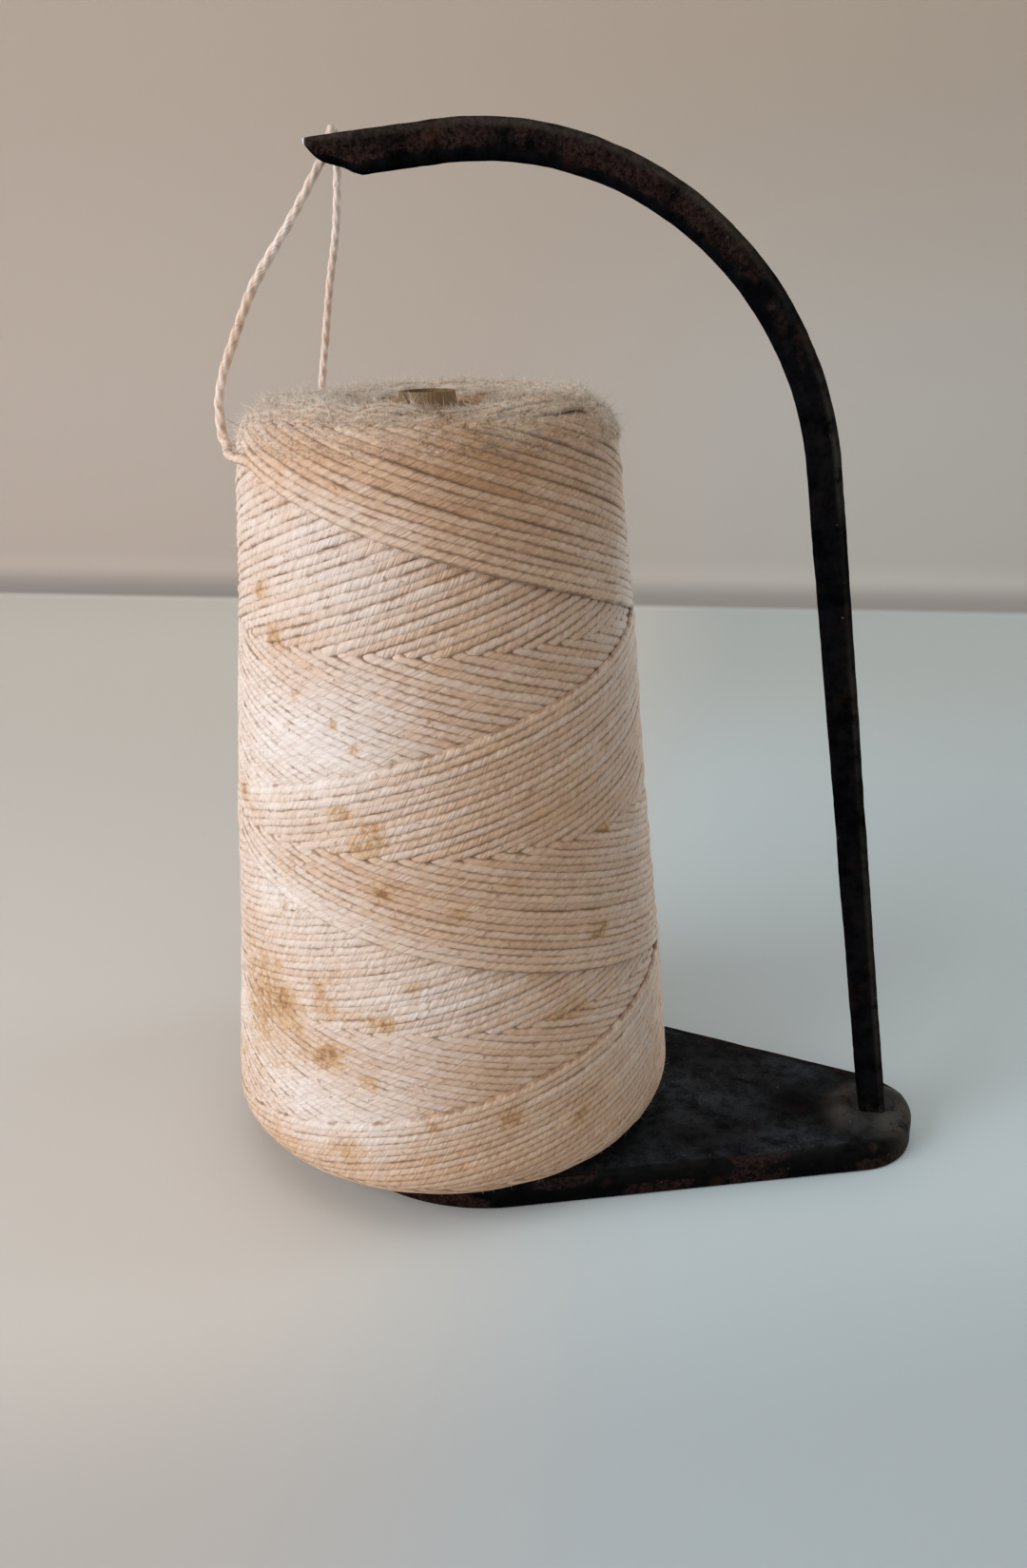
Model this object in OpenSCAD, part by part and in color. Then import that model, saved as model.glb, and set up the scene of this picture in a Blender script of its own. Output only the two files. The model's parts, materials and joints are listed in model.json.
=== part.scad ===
// Counter string holder: a cast base with an arched arm, carrying a wound cone of cotton twine.
// Millimetres. +X runs from the spindle to the arm, +Z is up, and z = 0 is the underside.

/* [Base] */
// Thickness of the plate
base_t = 8.5; // [7:0.1:14]
// Radius of the round end under the cone
base_r = 51.5; // [46:0.5:60]
// Distance from the spindle axis to the centre of that round end, towards the arm
base_shift = 11; // [0:0.5:14]
// Radius of the narrow end under the arm
base_end_r = 19.5; // [17:0.5:26]
// Distance from the spindle axis to the centre of the narrow end
base_reach = 118.5; // [105:0.5:150]
// Rounding of the upper edge
base_edge_r = 3.2; // [1:0.1:5]
// Height of the boss around the arm's foot
boss_h = 2.2; // [1:0.1:6]
// Radius of the boss's flat top
boss_r = 8.6; // [8:0.1:10]
// Width of the boss's hollow flank
boss_flank = 6; // [3:0.1:9]
// Depth of the round socket that the foot stands in
socket_depth = 2; // [1:0.1:4]
// Room around the foot in its socket
socket_room = 0.5; // [0.2:0.05:1]

/* [Arm] */
// Width of the bar at its foot, in the plane of the arch
arm_w_foot = 7.4; // [6:0.1:9]
// Width of the bar at its tip, in the plane of the arch
arm_w_tip = 9.2; // [7:0.1:11]
// Depth of the bar across the arch
arm_depth = 9.5; // [8:0.1:11]
// Bevel along the four edges of the bar
arm_edge = 1; // [0.4:0.1:2]
// How far the foot stands beyond the centre of the narrow end
arm_offset = 8; // [4:0.5:9]
// Lean of the upright towards the cone
arm_lean = 7.9; // [3:0.1:10]
// Height of the arch's centre line above the plate
arm_rise = 264; // [250:1:300]
// Bend radius of the arch's centre line
arm_bend_r = 88.7; // [70:0.1:95]
// Downward slope of the arm's free end
arm_droop = 5; // [0:0.5:10]
// Distance of the eye from the spindle axis
eye_reach = 22; // [10:0.5:30]
// Diameter of the eye
eye_d = 6; // [5:0.1:6.5]
// Length of arm beyond the eye's centre
tip_len = 5.4; // [5:0.1:9]
// Length of the curved bevel under the tip
bevel_len = 15.2; // [12:0.1:20]
// Radius of the curved bevel
bevel_r = 24; // [20:0.5:40]
// Height of the blunt end that the bevel leaves
tip_h = 1.5; // [0.8:0.1:3]
// Diameter of the tenon below the foot
tenon_d = 6; // [4:0.1:6]
// Height of the tenon's spread head under the plate
tenon_head_h = 2; // [1:0.1:3]

/* [Spindle] */
// Diameter of the journal in the plate
journal_d = 10; // [6:0.1:14]
// Radius of the flange that carries the cone
flange_r = 32; // [28:0.5:40]
// Thickness of the flange
flange_t = 1.5; // [1:0.1:4]
// Height of the tapered peg above the flange
peg_h = 38; // [20:0.5:40]
// Rounding of the peg's top
peg_round = 4; // [1:0.1:6]
// Outer radius of the washer under the plate
washer_r = 10; // [8:0.1:14]
// Thickness of the washer
washer_t = 1.6; // [1:0.1:2]
// Height of the spindle's spread end below the washer
spread_h = 1.4; // [0.8:0.1:2]
// How far the spread end laps over the washer
spread_lap = 1.6; // [1:0.1:2]

/* [Twine cone] */
// Height of the wound cone
cone_h = 205; // [170:1:206]
// Radius of the cone's side carried down to its floor
cone_r = 66.5; // [60:0.5:80]
// Radius of the cone's side carried up to its rim
cone_top_r = 48.7; // [40:0.1:56]
// Rounding of the lower edge
cone_edge_r = 10; // [6:0.5:11]
// Rounding of the rim
cone_rim_r = 13.5; // [10:0.5:16]
// Radius of the hollow around the paper core at the top
hollow_r = 14; // [11:0.5:18]
// Depth of the hollow
hollow_depth = 9; // [4:0.5:14]
// Dip from the rim to the hollow's mouth
dish_dip = 3; // [1:0.5:5]
// Outer radius of the paper core at the floor
core_r = 25; // [22:0.5:27]
// Outer radius of the paper core at the top
core_top_r = 7.5; // [6:0.1:9]
// Wall of the paper core
core_wall = 1.5; // [1:0.1:3]
// Height of the matted band under the rim
rim_band = 9; // [8:0.5:14]
// Height of the matted band above the floor
floor_band = 9; // [8:0.5:14]
// Slope between a matted band and the strands
band_slope = 3; // [2:0.5:6]

/* [Twine] */
// Diameter of the twine
strand_d = 2.7; // [2:0.1:3]
// Traverses of the outer winding, down and up in turn
traverses = 11; // [7:2:11]
// Bearing on the cone where the winding's free end lies
free_end_deg = 203; // [190:1:215]
// Bearing where the loose end hangs behind the cone
tail_deg = 140; // [125:1:155]
// Length of the loose end that lies against the cone
tail_len = 125; // [60:1:130]

/* [Fits] */
// Radial running clearance of the journal
journal_fit = 0.05; // [0.02:0.01:0.1]
// Clearance of pieces that are fixed in each other
fixed_fit = 0.05; // [0.02:0.01:0.1]
// End play of the spindle in the plate
end_play = 0.2; // [0.1:0.05:0.5]
// Room between the peg and the inside of the paper core
peg_room = 0.4; // [0.3:0.1:1]
// Room between the two winding directions
layer_gap = 0.6; // [0.5:0.1:1]
// Room between the strands and the package under them
under_gap = 0.9; // [0.8:0.1:2]
// Room between the free string and the cone it leaves
run_gap = 0.5; // [0.4:0.1:1]
// Room between the loose end and the cone it hangs against
tail_gap = 0.9; // [0.5:0.1:2]

/* [Hidden] */
eps = 0.01;

// Levels
flange_z = base_t;
cone_z = flange_z + flange_t;
boss_z = base_t + boss_h;
socket_z = boss_z - socket_depth;

// Arm layout in the plane of the arch, as [x, z]
foot_x = base_reach + arm_offset;
bend_z = base_t + arm_rise - arm_bend_r;
tangent_z = bend_z + arm_bend_r*sin(arm_lean);
tangent_x = foot_x - (tangent_z - socket_z)*tan(arm_lean);
bend_x = tangent_x - arm_bend_r*cos(arm_lean);
drop_x = bend_x - arm_bend_r*sin(arm_droop);
drop_z = bend_z + arm_bend_r*cos(arm_droop);
tip_x = -eye_reach - tip_len;
tip_z = drop_z - (drop_x - tip_x)*tan(arm_droop);
upright_len = (tangent_z - socket_z)/cos(arm_lean);
bend_len = arm_bend_r*(90 + arm_droop - arm_lean)*PI/180;
end_len = (drop_x - tip_x)/cos(arm_droop);
arm_len = upright_len + bend_len + end_len;
bend_steps = 24;
tip_top_z = tip_z + arm_w_tip/2/cos(arm_droop);
bevel_foot = [tip_x + bevel_len, tip_z + bevel_len*tan(arm_droop) - arm_w_tip/2/cos(arm_droop)];
bevel_tip = [tip_x, tip_top_z - tip_h];
socket_r = norm([arm_w_foot/cos(arm_lean), arm_depth])/2 + socket_room;

// Fasteners under the plate, with room around the washer and below the spread end
well_room = 0.5;
well_clear = 0.4;
spread_bevel = 0.6;
journal_r = journal_d/2;
tenon_r = tenon_d/2;
tenon_head_r = tenon_r + tenon_head_h;
well_r = washer_r + well_room;
well_depth = end_play + washer_t + spread_h + well_clear;
spread_r = journal_r + spread_lap;

// Cone and core, with heights measured from the cone's floor
function side_r(z) = cone_r + (cone_top_r - cone_r)*z/cone_h;
function core_out(z) = core_r + (core_top_r - core_r)*z/cone_h;
function core_in(z) = core_out(z) - core_wall;
side_deg = atan2(cone_r - cone_top_r, cone_h);
wind_depth = 2*strand_d + layer_gap + under_gap;
rim_x = side_r(cone_h - cone_rim_r) - cone_rim_r/cos(side_deg);
edge_x = side_r(cone_edge_r) - cone_edge_r/cos(side_deg);
round_steps = 8;
hollow_bow = 0.8;

// Winding: one traverse takes just under two turns, so that each pass lies beside the last
pass_count = (traverses + 1)/2;
traverse_turns = 2 - 1/(2*pass_count);
rings_per_turn = 24;
strand_sides = 6;
turn_room = 0.5;
wind_top = cone_h - rim_band - band_slope - turn_room;
wind_low = floor_band + band_slope + turn_room;
turn_round = 0.04;
layer_round = 0.028;
wind_turns = traverses*traverse_turns;

// Origin: the middle of the object's box, so the spindle stands off centre
cone_reach = max(base_r - base_shift, max([for (p = cone_profile()) p[0]]));
spindle_x = -(base_reach + base_end_r - cone_reach)/2;

// Free string: up from the cone to the eye, over the arm, and down behind the cone
eye_top = [-eye_reach, 0, tip_top_z + tip_len*tan(arm_droop)];
lip_y = arm_depth/2;
tail_drop = 10;
tail_steps = 5;
run_start = on_cone(free_end_deg, wind_top + turn_room, run_gap);
run_eye = eye_top + [-0.2, 0.4, -1.4];
run_back = eye_top + [-0.9, lip_y + 4, -7.4];
run_rest = on_cone(tail_deg, cone_h - tail_drop, tail_gap);
// Rows give a share of the way and the sideways bow there
rise_bow = [
    [0, 0, 0], [0, -1.2, 3.1], [0.01, -2.9, 5.4], [0.04, -4.8, 6.1], [0.1, -6.8, 5.8],
    [0.16, -8.3, 5.1], [0.26, -9.3, 4.6], [0.35, -9.2, 4.2], [0.45, -8.9, 3.5],
    [0.54, -8.2, 2.9], [0.64, -6.3, 2.4], [0.73, -4.2, 1.9], [0.82, -2.5, 1.3],
    [0.91, -1, 0.6], [0.96, 0, 0.2], [1, 0, 0]
];
fall_bow = [[0, 0, 0], [0.21, 0.9, -0.8], [0.43, 0, -0.3], [0.66, -0.3, 0], [0.84, -0.6, 0.5]];
over_arm = [
    [0, 1.3, 0.2], [0, 2.2, 1.4], [0, lip_y - 0.9, 1.8], [0, lip_y + 0.5, 1.3],
    [-0.1, lip_y + 1.7, -0.4], [-0.3, lip_y + 2.3, -3]
];
run_points = concat(
    bowed(run_start, run_eye, rise_bow),
    [for (p = over_arm) eye_top + p],
    bowed(run_back, run_rest, fall_bow),
    [for (i = [0:tail_steps]) on_cone(tail_deg, cone_h - tail_drop - tail_len*i/tail_steps, tail_gap)]
);
run_steps = 2;
run_sides = 8;

function unit(v) = v/norm(v);
function smooth(t) = let (s = min(1, max(0, t))) s*s*(3 - 2*s);
function arc(cx, cz, r, from, to, n) =
    [for (i = [0:n]) let (a = from + (to - from)*i/n) [cx + r*cos(a), cz + r*sin(a)]];

// Way from one point to another with sideways bows
function bowed(from, to, bows) = [for (b = bows) from + (to - from)*b[0] + [b[1], b[2], 0]];
// Middle of a strand lying on the cone at a bearing and a height
function on_cone(deg, z, gap) = let (r = side_r(z) + strand_d/2 + gap)
    [r*cos(deg), r*sin(deg), cone_z + z];

// Sides of the cone, from its floor to the hollow, as [radius, height]
function cone_profile() = concat(
    [[core_out(0) + fixed_fit, 0]],
    [for (p = arc(edge_x, cone_edge_r, cone_edge_r, -90, side_deg, round_steps))
        if (p[1] < floor_band - eps) p],
    [
        [edge_at(floor_band), floor_band],
        [side_r(floor_band) - wind_depth, floor_band + band_slope],
        [side_r(cone_h - rim_band) - wind_depth, cone_h - rim_band - band_slope]
    ],
    [[rim_at(cone_h - rim_band), cone_h - rim_band]],
    [for (p = arc(rim_x, cone_h - cone_rim_r, cone_rim_r, side_deg, 90, round_steps))
        if (p[1] > cone_h - rim_band + eps) p],
    [
        [hollow_r, cone_h - dish_dip],
        [(hollow_r + core_out(cone_h))/2, cone_h - hollow_depth*hollow_bow],
        [core_out(cone_h - hollow_depth) + fixed_fit, cone_h - hollow_depth]
    ]
);
// Radius of the outside within the lower edge's rounding, and within the rim's
function edge_at(z) = let (under = cone_edge_r - z)
    under < -cone_edge_r*sin(side_deg) ? side_r(z) : edge_x + sqrt(cone_edge_r^2 - under^2);
function rim_at(z) = let (over = z - (cone_h - cone_rim_r))
    over < cone_rim_r*sin(side_deg) ? side_r(z) : rim_x + sqrt(cone_rim_r^2 - over^2);

// Height along the winding as a share of the traverse, with rounded turning points
function rounded(x) = abs(x) < turn_round ? x^2/(2*turn_round) + turn_round/2 : abs(x);
function wind_share(q) = q < 0.5 ? rounded(q) : q < 1.5 ? 1 - rounded(q - 1) : rounded(q - 2);
// 1 on the outer layer, going down, and 0 on the inner one, going up
function wind_layer(q) =
    q < 1.5 ? smooth(0.5 - (q - 1)/(2*layer_round)) : smooth(0.5 + (q - 2)/(2*layer_round));
function wind_point(t) = let (
    q = (t/traverse_turns) % 2,
    z = wind_top - (wind_top - wind_low)*wind_share(q),
    r = side_r(z) - strand_d/2 - (1 - wind_layer(q))*(strand_d + layer_gap),
    a = free_end_deg + 360*t
) [r*cos(a), r*sin(a), cone_z + z];
wind_path = [for (i = [0:floor(wind_turns*rings_per_turn)]) wind_point(i/rings_per_turn)];

// Least clear distance of a path to itself, leaving out neighbours within half a turn
function self_gap(path, d, near) = min([
    for (i = [0:len(path) - 1 - near]) for (j = [i + near:1:len(path) - 1]) norm(path[i] - path[j])
]) - d;

// Smooth curve through hand-set points
function spline(p, steps) = concat([
    for (i = [0:len(p) - 2]) for (k = [0:steps - 1])
        let (
            t = k/steps,
            a = p[max(i - 1, 0)], b = p[i], c = p[i + 1], d = p[min(i + 2, len(p) - 1)]
        ) 0.5*(2*b + (c - a)*t + (2*a - 5*b + 4*c - d)*t^2 + (3*b - a - 3*c + d)*t^3)
], [p[len(p) - 1]]);

// Closed skin over rings of equally many points, each ring turning left about the way forward
module skin(rings) {
    n = len(rings[0]);
    last = len(rings) - 1;
    walls = [for (i = [0:last - 1]) for (k = [0:n - 1]) for (half = [0, 1])
        let (a = i*n + k, b = i*n + (k + 1)%n)
        half == 0 ? [a, a + n, b] : [b, a + n, b + n]];
    ends = [for (k = [1:n - 2]) for (end = [0, 1])
        end == 0 ? [0, k, k + 1] : [last*n, last*n + k + 1, last*n + k]];
    polyhedron([for (ring = rings) for (p = ring) p], concat(walls, ends));
}

// Tube of n sides along a path, its rings carried along without twist
module tube(path, r, n) {
    last = len(path) - 1;
    along = [for (i = [0:last]) unit(path[min(i + 1, last)] - path[max(i - 1, 0)])];
    first = unit(cross(along[0], [0, 0, 1]));
    side = [for (i = 0, v = first; i <= last;
        i = i + 1, v = i <= last ? unit(v - (v*along[i])*along[i]) : v) v];
    skin([for (i = [0:last]) let (up = cross(along[i], side[i]))
        [for (k = [0:n - 1]) path[i] + r*(cos(360*k/n)*side[i] + sin(360*k/n)*up)]]);
}

// Round plate with a rounded upper edge
module rounded_disc(r) {
    rotate_extrude($fn = 72)
        polygon(concat([[0, 0], [r, 0]],
            arc(r - base_edge_r, base_t - base_edge_r, base_edge_r, 0, 90, 5), [[0, base_t]]));
}

// Teardrop body of the base
module base_body() {
    hull() {
        translate([base_shift, 0, 0]) rounded_disc(base_r);
        translate([base_reach, 0, 0]) rounded_disc(base_end_r);
    }
}

module base_plate() {
    color("#26262a") difference() {
        union() {
            base_body();
            intersection() {
                translate([0, 0, boss_h]) base_body();
                translate([foot_x, 0, 0]) boss();
            }
        }
        translate([foot_x, 0, socket_z]) cylinder(h = socket_depth + 1, r = socket_r, $fn = 48);
        translate([foot_x, 0, -1]) cylinder(h = base_t + 2, r = tenon_r + fixed_fit, $fn = 48);
        translate([foot_x, 0, -eps])
            cylinder(h = tenon_head_h + fixed_fit + eps, r1 = tenon_head_r + fixed_fit + eps,
                r2 = tenon_r, $fn = 48);
        translate([0, 0, -1]) cylinder(h = base_t + 2, r = journal_r + journal_fit, $fn = 64);
        translate([0, 0, -1]) cylinder(h = well_depth + 1, r = well_r, $fn = 64);
    }
}

// Raised boss with a hollow flank
module boss() {
    rotate_extrude($fn = 64)
        polygon(concat([[0, base_t/2], [boss_r + boss_flank, base_t/2]],
            [for (i = [0:10]) let (s = 1 - i/10)
                [boss_r + boss_flank*s, base_t + boss_h*(1 - smooth(s))]],
            [[0, boss_z]]));
}

// Section of the bar at one place: centre, direction across the bar in the arch's plane, and width
function bar_ring(x, z, across, w) = let (h = w/2, d = arm_depth/2, e = arm_edge)
    [for (p = [[h - e, -d], [h, e - d], [h, d - e], [h - e, d],
            [e - h, d], [-h, d - e], [-h, e - d], [e - h, -d]])
        [x + across[0]*p[0], p[1], z + across[1]*p[0]]];
function bar_w(share) = arm_w_foot + (arm_w_tip - arm_w_foot)*share;
bar_rings = concat(
    [bar_ring(foot_x, socket_z, [1, 0], arm_w_foot/cos(arm_lean))],
    [for (i = [0:bend_steps]) let (
        a = arm_lean + (90 + arm_droop - arm_lean)*i/bend_steps,
        share = (upright_len + bend_len*i/bend_steps)/arm_len,
        out = [cos(a), sin(a)]
    ) bar_ring(bend_x + arm_bend_r*out[0], bend_z + arm_bend_r*out[1], out, bar_w(share))],
    [bar_ring(tip_x, tip_z, [0, 1], arm_w_tip/cos(arm_droop))]
);

// Material that the curved bevel takes away under the tip
module tip_bevel() {
    chord = bevel_foot - bevel_tip;
    rise = sqrt(bevel_r^2 - (norm(chord)/2)^2);
    centre = (bevel_foot + bevel_tip)/2 + rise*unit([-chord[1], chord[0]]);
    rotate([90, 0, 0]) linear_extrude(height = arm_depth + 2, center = true) difference() {
        translate([tip_x - 1, bevel_foot[1] - arm_w_tip])
            square([bevel_len + 1, arm_w_tip + bevel_tip[1] - bevel_foot[1]]);
        translate(centre) circle(r = bevel_r, $fn = 180);
    }
}

module arm() {
    color("#1d1a1a") {
        difference() {
            skin(bar_rings);
            tip_bevel();
            translate([-eye_reach, 0, tip_z - arm_w_tip]) cylinder(h = 2*arm_w_tip, d = eye_d, $fn = 48);
        }
        translate([foot_x, 0, 0]) cylinder(h = socket_z + arm_edge, r = tenon_r, $fn = 48);
        translate([foot_x, 0, 0]) cylinder(h = tenon_head_h, r1 = tenon_head_r, r2 = tenon_r, $fn = 48);
    }
}

// Turned spindle: tapered peg, flange, journal and spread lower end
module spindle() {
    journal_low = well_depth - end_play - washer_t;
    top_r = core_in(peg_h) - peg_room;
    color("#6b6762") rotate_extrude($fn = 96) polygon(concat(
        [[0, journal_low - spread_h], [spread_r - spread_h*spread_bevel, journal_low - spread_h]],
        [[spread_r, journal_low - spread_h*(1 - spread_bevel)], [spread_r, journal_low]],
        [[journal_r, journal_low]],
        [[journal_r, flange_z], [flange_r, flange_z], [flange_r, cone_z]],
        [[core_in(0) - peg_room, cone_z]],
        arc(top_r - peg_round, cone_z + peg_h - peg_round, peg_round, 0, 90, 5),
        [[0, cone_z + peg_h]]
    ));
}

// Washer that the spindle's lower end is spread over
module spindle_washer() {
    color("#7d7a75") translate([0, 0, well_depth - end_play - washer_t]) difference() {
        cylinder(h = washer_t, r = washer_r, $fn = 64);
        translate([0, 0, -1]) cylinder(h = washer_t + 2, r = journal_r + fixed_fit, $fn = 64);
    }
}

// Tapered paper tube that the twine is wound on
module paper_core() {
    color("#8a6a48") translate([0, 0, cone_z]) rotate_extrude($fn = 96)
        polygon([[core_in(0), 0], [core_out(0), 0], [core_out(cone_h), cone_h], [core_in(cone_h), cone_h]]);
}

// Body of the wound cone under its outer strands
module twine_core() {
    color("#cdb796") translate([0, 0, cone_z]) rotate_extrude($fn = 96) polygon(cone_profile());
}

// Outer strands, one unbroken length that crosses itself down and up the cone
module twine_wrap() {
    echo(least_gap = self_gap(wind_path, strand_d, rings_per_turn/2));
    color("#e3d3b6") tube(wind_path, strand_d/2, strand_sides);
}

// Free string through the eye, with its end hanging behind the cone
module twine_run() {
    color("#e8d5b4") tube(spline(run_points, run_steps), strand_d/2, run_sides);
}

// Every piece is drawn about the spindle axis and carried to its place
module placed() {
    translate([spindle_x, 0, 0]) children();
}

placed() base_plate();
placed() arm();
placed() spindle();
placed() spindle_washer();
placed() paper_core();
placed() twine_core();
placed() twine_wrap();
placed() twine_run();
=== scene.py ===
"""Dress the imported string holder: cast base, iron arm, spindle, wound cone of twine and free string.

Lengths in the classes are millimetres about the spindle axis, with z = 0 on the underside of the base.
`to_row` carries them into the row frame, in metres.
"""

from __future__ import annotations

import json
import logging
import math
from collections.abc import Sequence
from dataclasses import dataclass, field, fields
from enum import Enum
from typing import Any

import bmesh
import bpy
import numpy as np
from mathutils import Matrix

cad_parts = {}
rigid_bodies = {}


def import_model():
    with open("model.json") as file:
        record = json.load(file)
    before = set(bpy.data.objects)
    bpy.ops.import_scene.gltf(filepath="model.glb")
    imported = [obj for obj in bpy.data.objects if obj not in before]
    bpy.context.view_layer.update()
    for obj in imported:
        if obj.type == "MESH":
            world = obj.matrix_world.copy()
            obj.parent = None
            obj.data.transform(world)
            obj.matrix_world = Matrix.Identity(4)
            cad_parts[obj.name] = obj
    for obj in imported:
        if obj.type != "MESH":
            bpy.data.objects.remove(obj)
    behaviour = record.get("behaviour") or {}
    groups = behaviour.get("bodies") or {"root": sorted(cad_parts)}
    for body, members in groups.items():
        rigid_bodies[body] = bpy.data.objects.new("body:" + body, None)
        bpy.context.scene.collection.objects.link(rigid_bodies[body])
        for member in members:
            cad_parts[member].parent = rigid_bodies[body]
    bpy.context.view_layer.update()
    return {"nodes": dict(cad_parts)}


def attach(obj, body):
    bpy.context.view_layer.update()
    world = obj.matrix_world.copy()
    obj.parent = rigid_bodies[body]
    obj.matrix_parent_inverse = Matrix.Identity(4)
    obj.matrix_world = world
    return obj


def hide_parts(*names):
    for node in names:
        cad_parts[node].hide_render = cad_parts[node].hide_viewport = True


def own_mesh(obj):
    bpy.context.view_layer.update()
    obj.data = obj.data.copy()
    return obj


LOG = logging.getLogger("string_holder")
TAU = 2 * math.pi
MM = 0.001
SPINDLE_X = -36.228
# Millimetres of a strand in which its fibres wind round it once
LAY_LENGTH = 7.8

Array = np.ndarray
Colour = tuple[float, float, float]

# Stages of a rust spot: where each starts, where it is full, its most cover and its colour
SPOT_STAGES: tuple[tuple[float, float, float, Colour], ...] = (
    (0.22, 0.90, 0.80, (0.655, 0.415, 0.225)),
    (0.66, 1.30, 0.80, (0.440, 0.225, 0.092)),
    (1.10, 1.56, 0.72, (0.225, 0.108, 0.046)),
)


def to_row(points: Array) -> Array:
    """Carry millimetres about the spindle axis into the row frame, in metres."""
    return (np.asarray(points, float) + (SPINDLE_X, 0.0, 0.0)) * MM


def ease(t: Array) -> Array:
    """Smooth step: 0 below 0, 1 above 1, and 3t^2 - 2t^3 between."""
    t = np.clip(t, 0.0, 1.0)
    return t * t * (3.0 - 2.0 * t)


def blurred(values: Array, sigma: float) -> Array:
    """Values smoothed along each row by a Gaussian of the given width in columns.

    Args:
        values: the rows.
        sigma: the Gaussian's width, in columns.

    Returns:
        The smoothed rows.
    """
    reach = math.ceil(3 * sigma)
    shifts = range(-reach, reach + 1)
    taps = np.exp(-0.5 * (np.arange(-reach, reach + 1) / sigma) ** 2)
    return sum(w * np.roll(values, k, axis=1) for k, w in zip(shifts, taps / taps.sum()))


def grown(flags: Array, reach: int) -> Array:
    """Flags spread along each row by a number of columns."""
    return sum(np.roll(flags, k, axis=1) for k in range(-reach, reach + 1)) > 0


def lattice_noise(points: Array, cell: float, seed: int) -> Array:
    """Smooth random field: hashed values at lattice corners, blended by eased trilinear weights.

    Args:
        points: places in millimetres, with three columns in the last axis.
        cell: edge of a lattice cell, in millimetres.
        seed: picks one field among many.

    Returns:
        One value from -1 to 1 for each place.
    """
    place = np.asarray(points, float) / cell
    low = np.floor(place).astype(np.int64)
    weight = ease(place - low)
    total = np.zeros(place.shape[:-1])
    for corner in range(8):
        step = np.array([corner & 1, corner >> 1 & 1, corner >> 2 & 1])
        c = low + step
        mixed = c[..., 0] * 73856093 ^ c[..., 1] * 19349663 ^ c[..., 2] * 83492791 ^ seed * 40503
        mixed = (mixed ^ mixed >> 13) * 1274126177
        value = (mixed >> 8 & 0xFFFF) / 32767.5 - 1.0
        total += value * np.prod(np.where(step, weight, 1.0 - weight), axis=-1)
    return total


def unit(vectors: Array) -> Array:
    """Vectors scaled to length one."""
    return vectors / np.maximum(np.linalg.norm(vectors, axis=-1, keepdims=True), 1e-12)


def smooth_route(points: Sequence[Sequence[float]], steps: int) -> Array:
    """Curve through given points: a Catmull-Rom spline with evenly cut spans.

    Args:
        points: the points that the curve goes through.
        steps: cuts in each span.

    Returns:
        The curve's points, one row each.
    """
    p = np.asarray(points, float)
    a = np.vstack([p[:1], p[:-2]])
    b, c = p[:-1], p[1:]
    d = np.vstack([p[2:], p[-1:]])
    t = (np.arange(steps) / steps)[None, :, None]
    a, b, c, d = (x[:, None, :] for x in (a, b, c, d))
    square, cube = 2 * a - 5 * b + 4 * c - d, 3 * b - a - 3 * c + d
    curve = 0.5 * (2 * b + (c - a) * t + square * t**2 + cube * t**3)
    return np.vstack([curve.reshape(-1, 3), p[-1:]])


def even_route(points: Array, spacing: float) -> Array:
    """The same curve with its points an even distance apart.

    Args:
        points: the curve's points.
        spacing: the distance wanted between points.

    Returns:
        The new points.
    """
    reach = np.concatenate([[0.0], np.cumsum(np.linalg.norm(np.diff(points, axis=0), axis=1))])
    marks = np.linspace(0.0, reach[-1], max(2, round(reach[-1] / spacing)))
    return np.stack([np.interp(marks, reach, points[:, k]) for k in range(3)], axis=1)


def grid_quads(rows: int, cols: int, wrap: bool = True) -> Array:
    """Quads of a grid of points held row after row.

    Args:
        rows: rows of points.
        cols: points in a row.
        wrap: whether the last column joins the first.

    Returns:
        Four point numbers for each quad.
    """
    r = np.arange(rows - 1)[:, None] * cols
    c = np.arange(cols if wrap else cols - 1)[None, :]
    n = (c + 1) % cols
    return np.stack([r + c, r + n, r + cols + n, r + cols + c], axis=-1).reshape(-1, 4)


def grid_lay(along: Array, cols: int) -> Array:
    """UV of the corners of a closed grid's quads: the share of a turn round it, and the length along it.

    Args:
        along: length along the grid at each row.
        cols: points in a row.

    Returns:
        Two values for each corner, in the order of grid_quads.
    """
    row, col = np.divmod(np.arange((len(along) - 1) * cols), cols)
    across, ahead = np.array([(0, 0), (1, 0), (1, 1), (0, 1)]).T
    return np.stack([(col[:, None] + across) / cols, along[row[:, None] + ahead]], axis=-1).reshape(-1, 2)


def facing_out(points: Array, quads: Array) -> Array:
    """Quads of a closed skin, turned if the volume that they enclose is negative.

    Args:
        points: the skin's points.
        quads: its faces.

    Returns:
        The faces, all pointing outwards.
    """
    a, b, c, d = (points[quads[:, k]] for k in range(4))
    volume = np.einsum("ij,ij->", a, np.cross(b, c)) + np.einsum("ij,ij->", a, np.cross(c, d))
    return quads if volume > 0 else quads[:, ::-1]


def lathe(profile: Array, steps: int) -> tuple[Array, Array]:
    """Profile of [radius, height] rows turned about the spindle axis.

    Args:
        profile: the outline's points.
        steps: points around.

    Returns:
        The points and the quads between them.
    """
    turn = TAU * np.arange(steps) / steps
    r, z = np.asarray(profile, float).T
    x, y = r[:, None] * np.cos(turn), r[:, None] * np.sin(turn)
    points = np.stack([x, y, np.repeat(z[:, None], steps, axis=1)], axis=-1)
    return points.reshape(-1, 3), grid_quads(len(r), steps)


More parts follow.
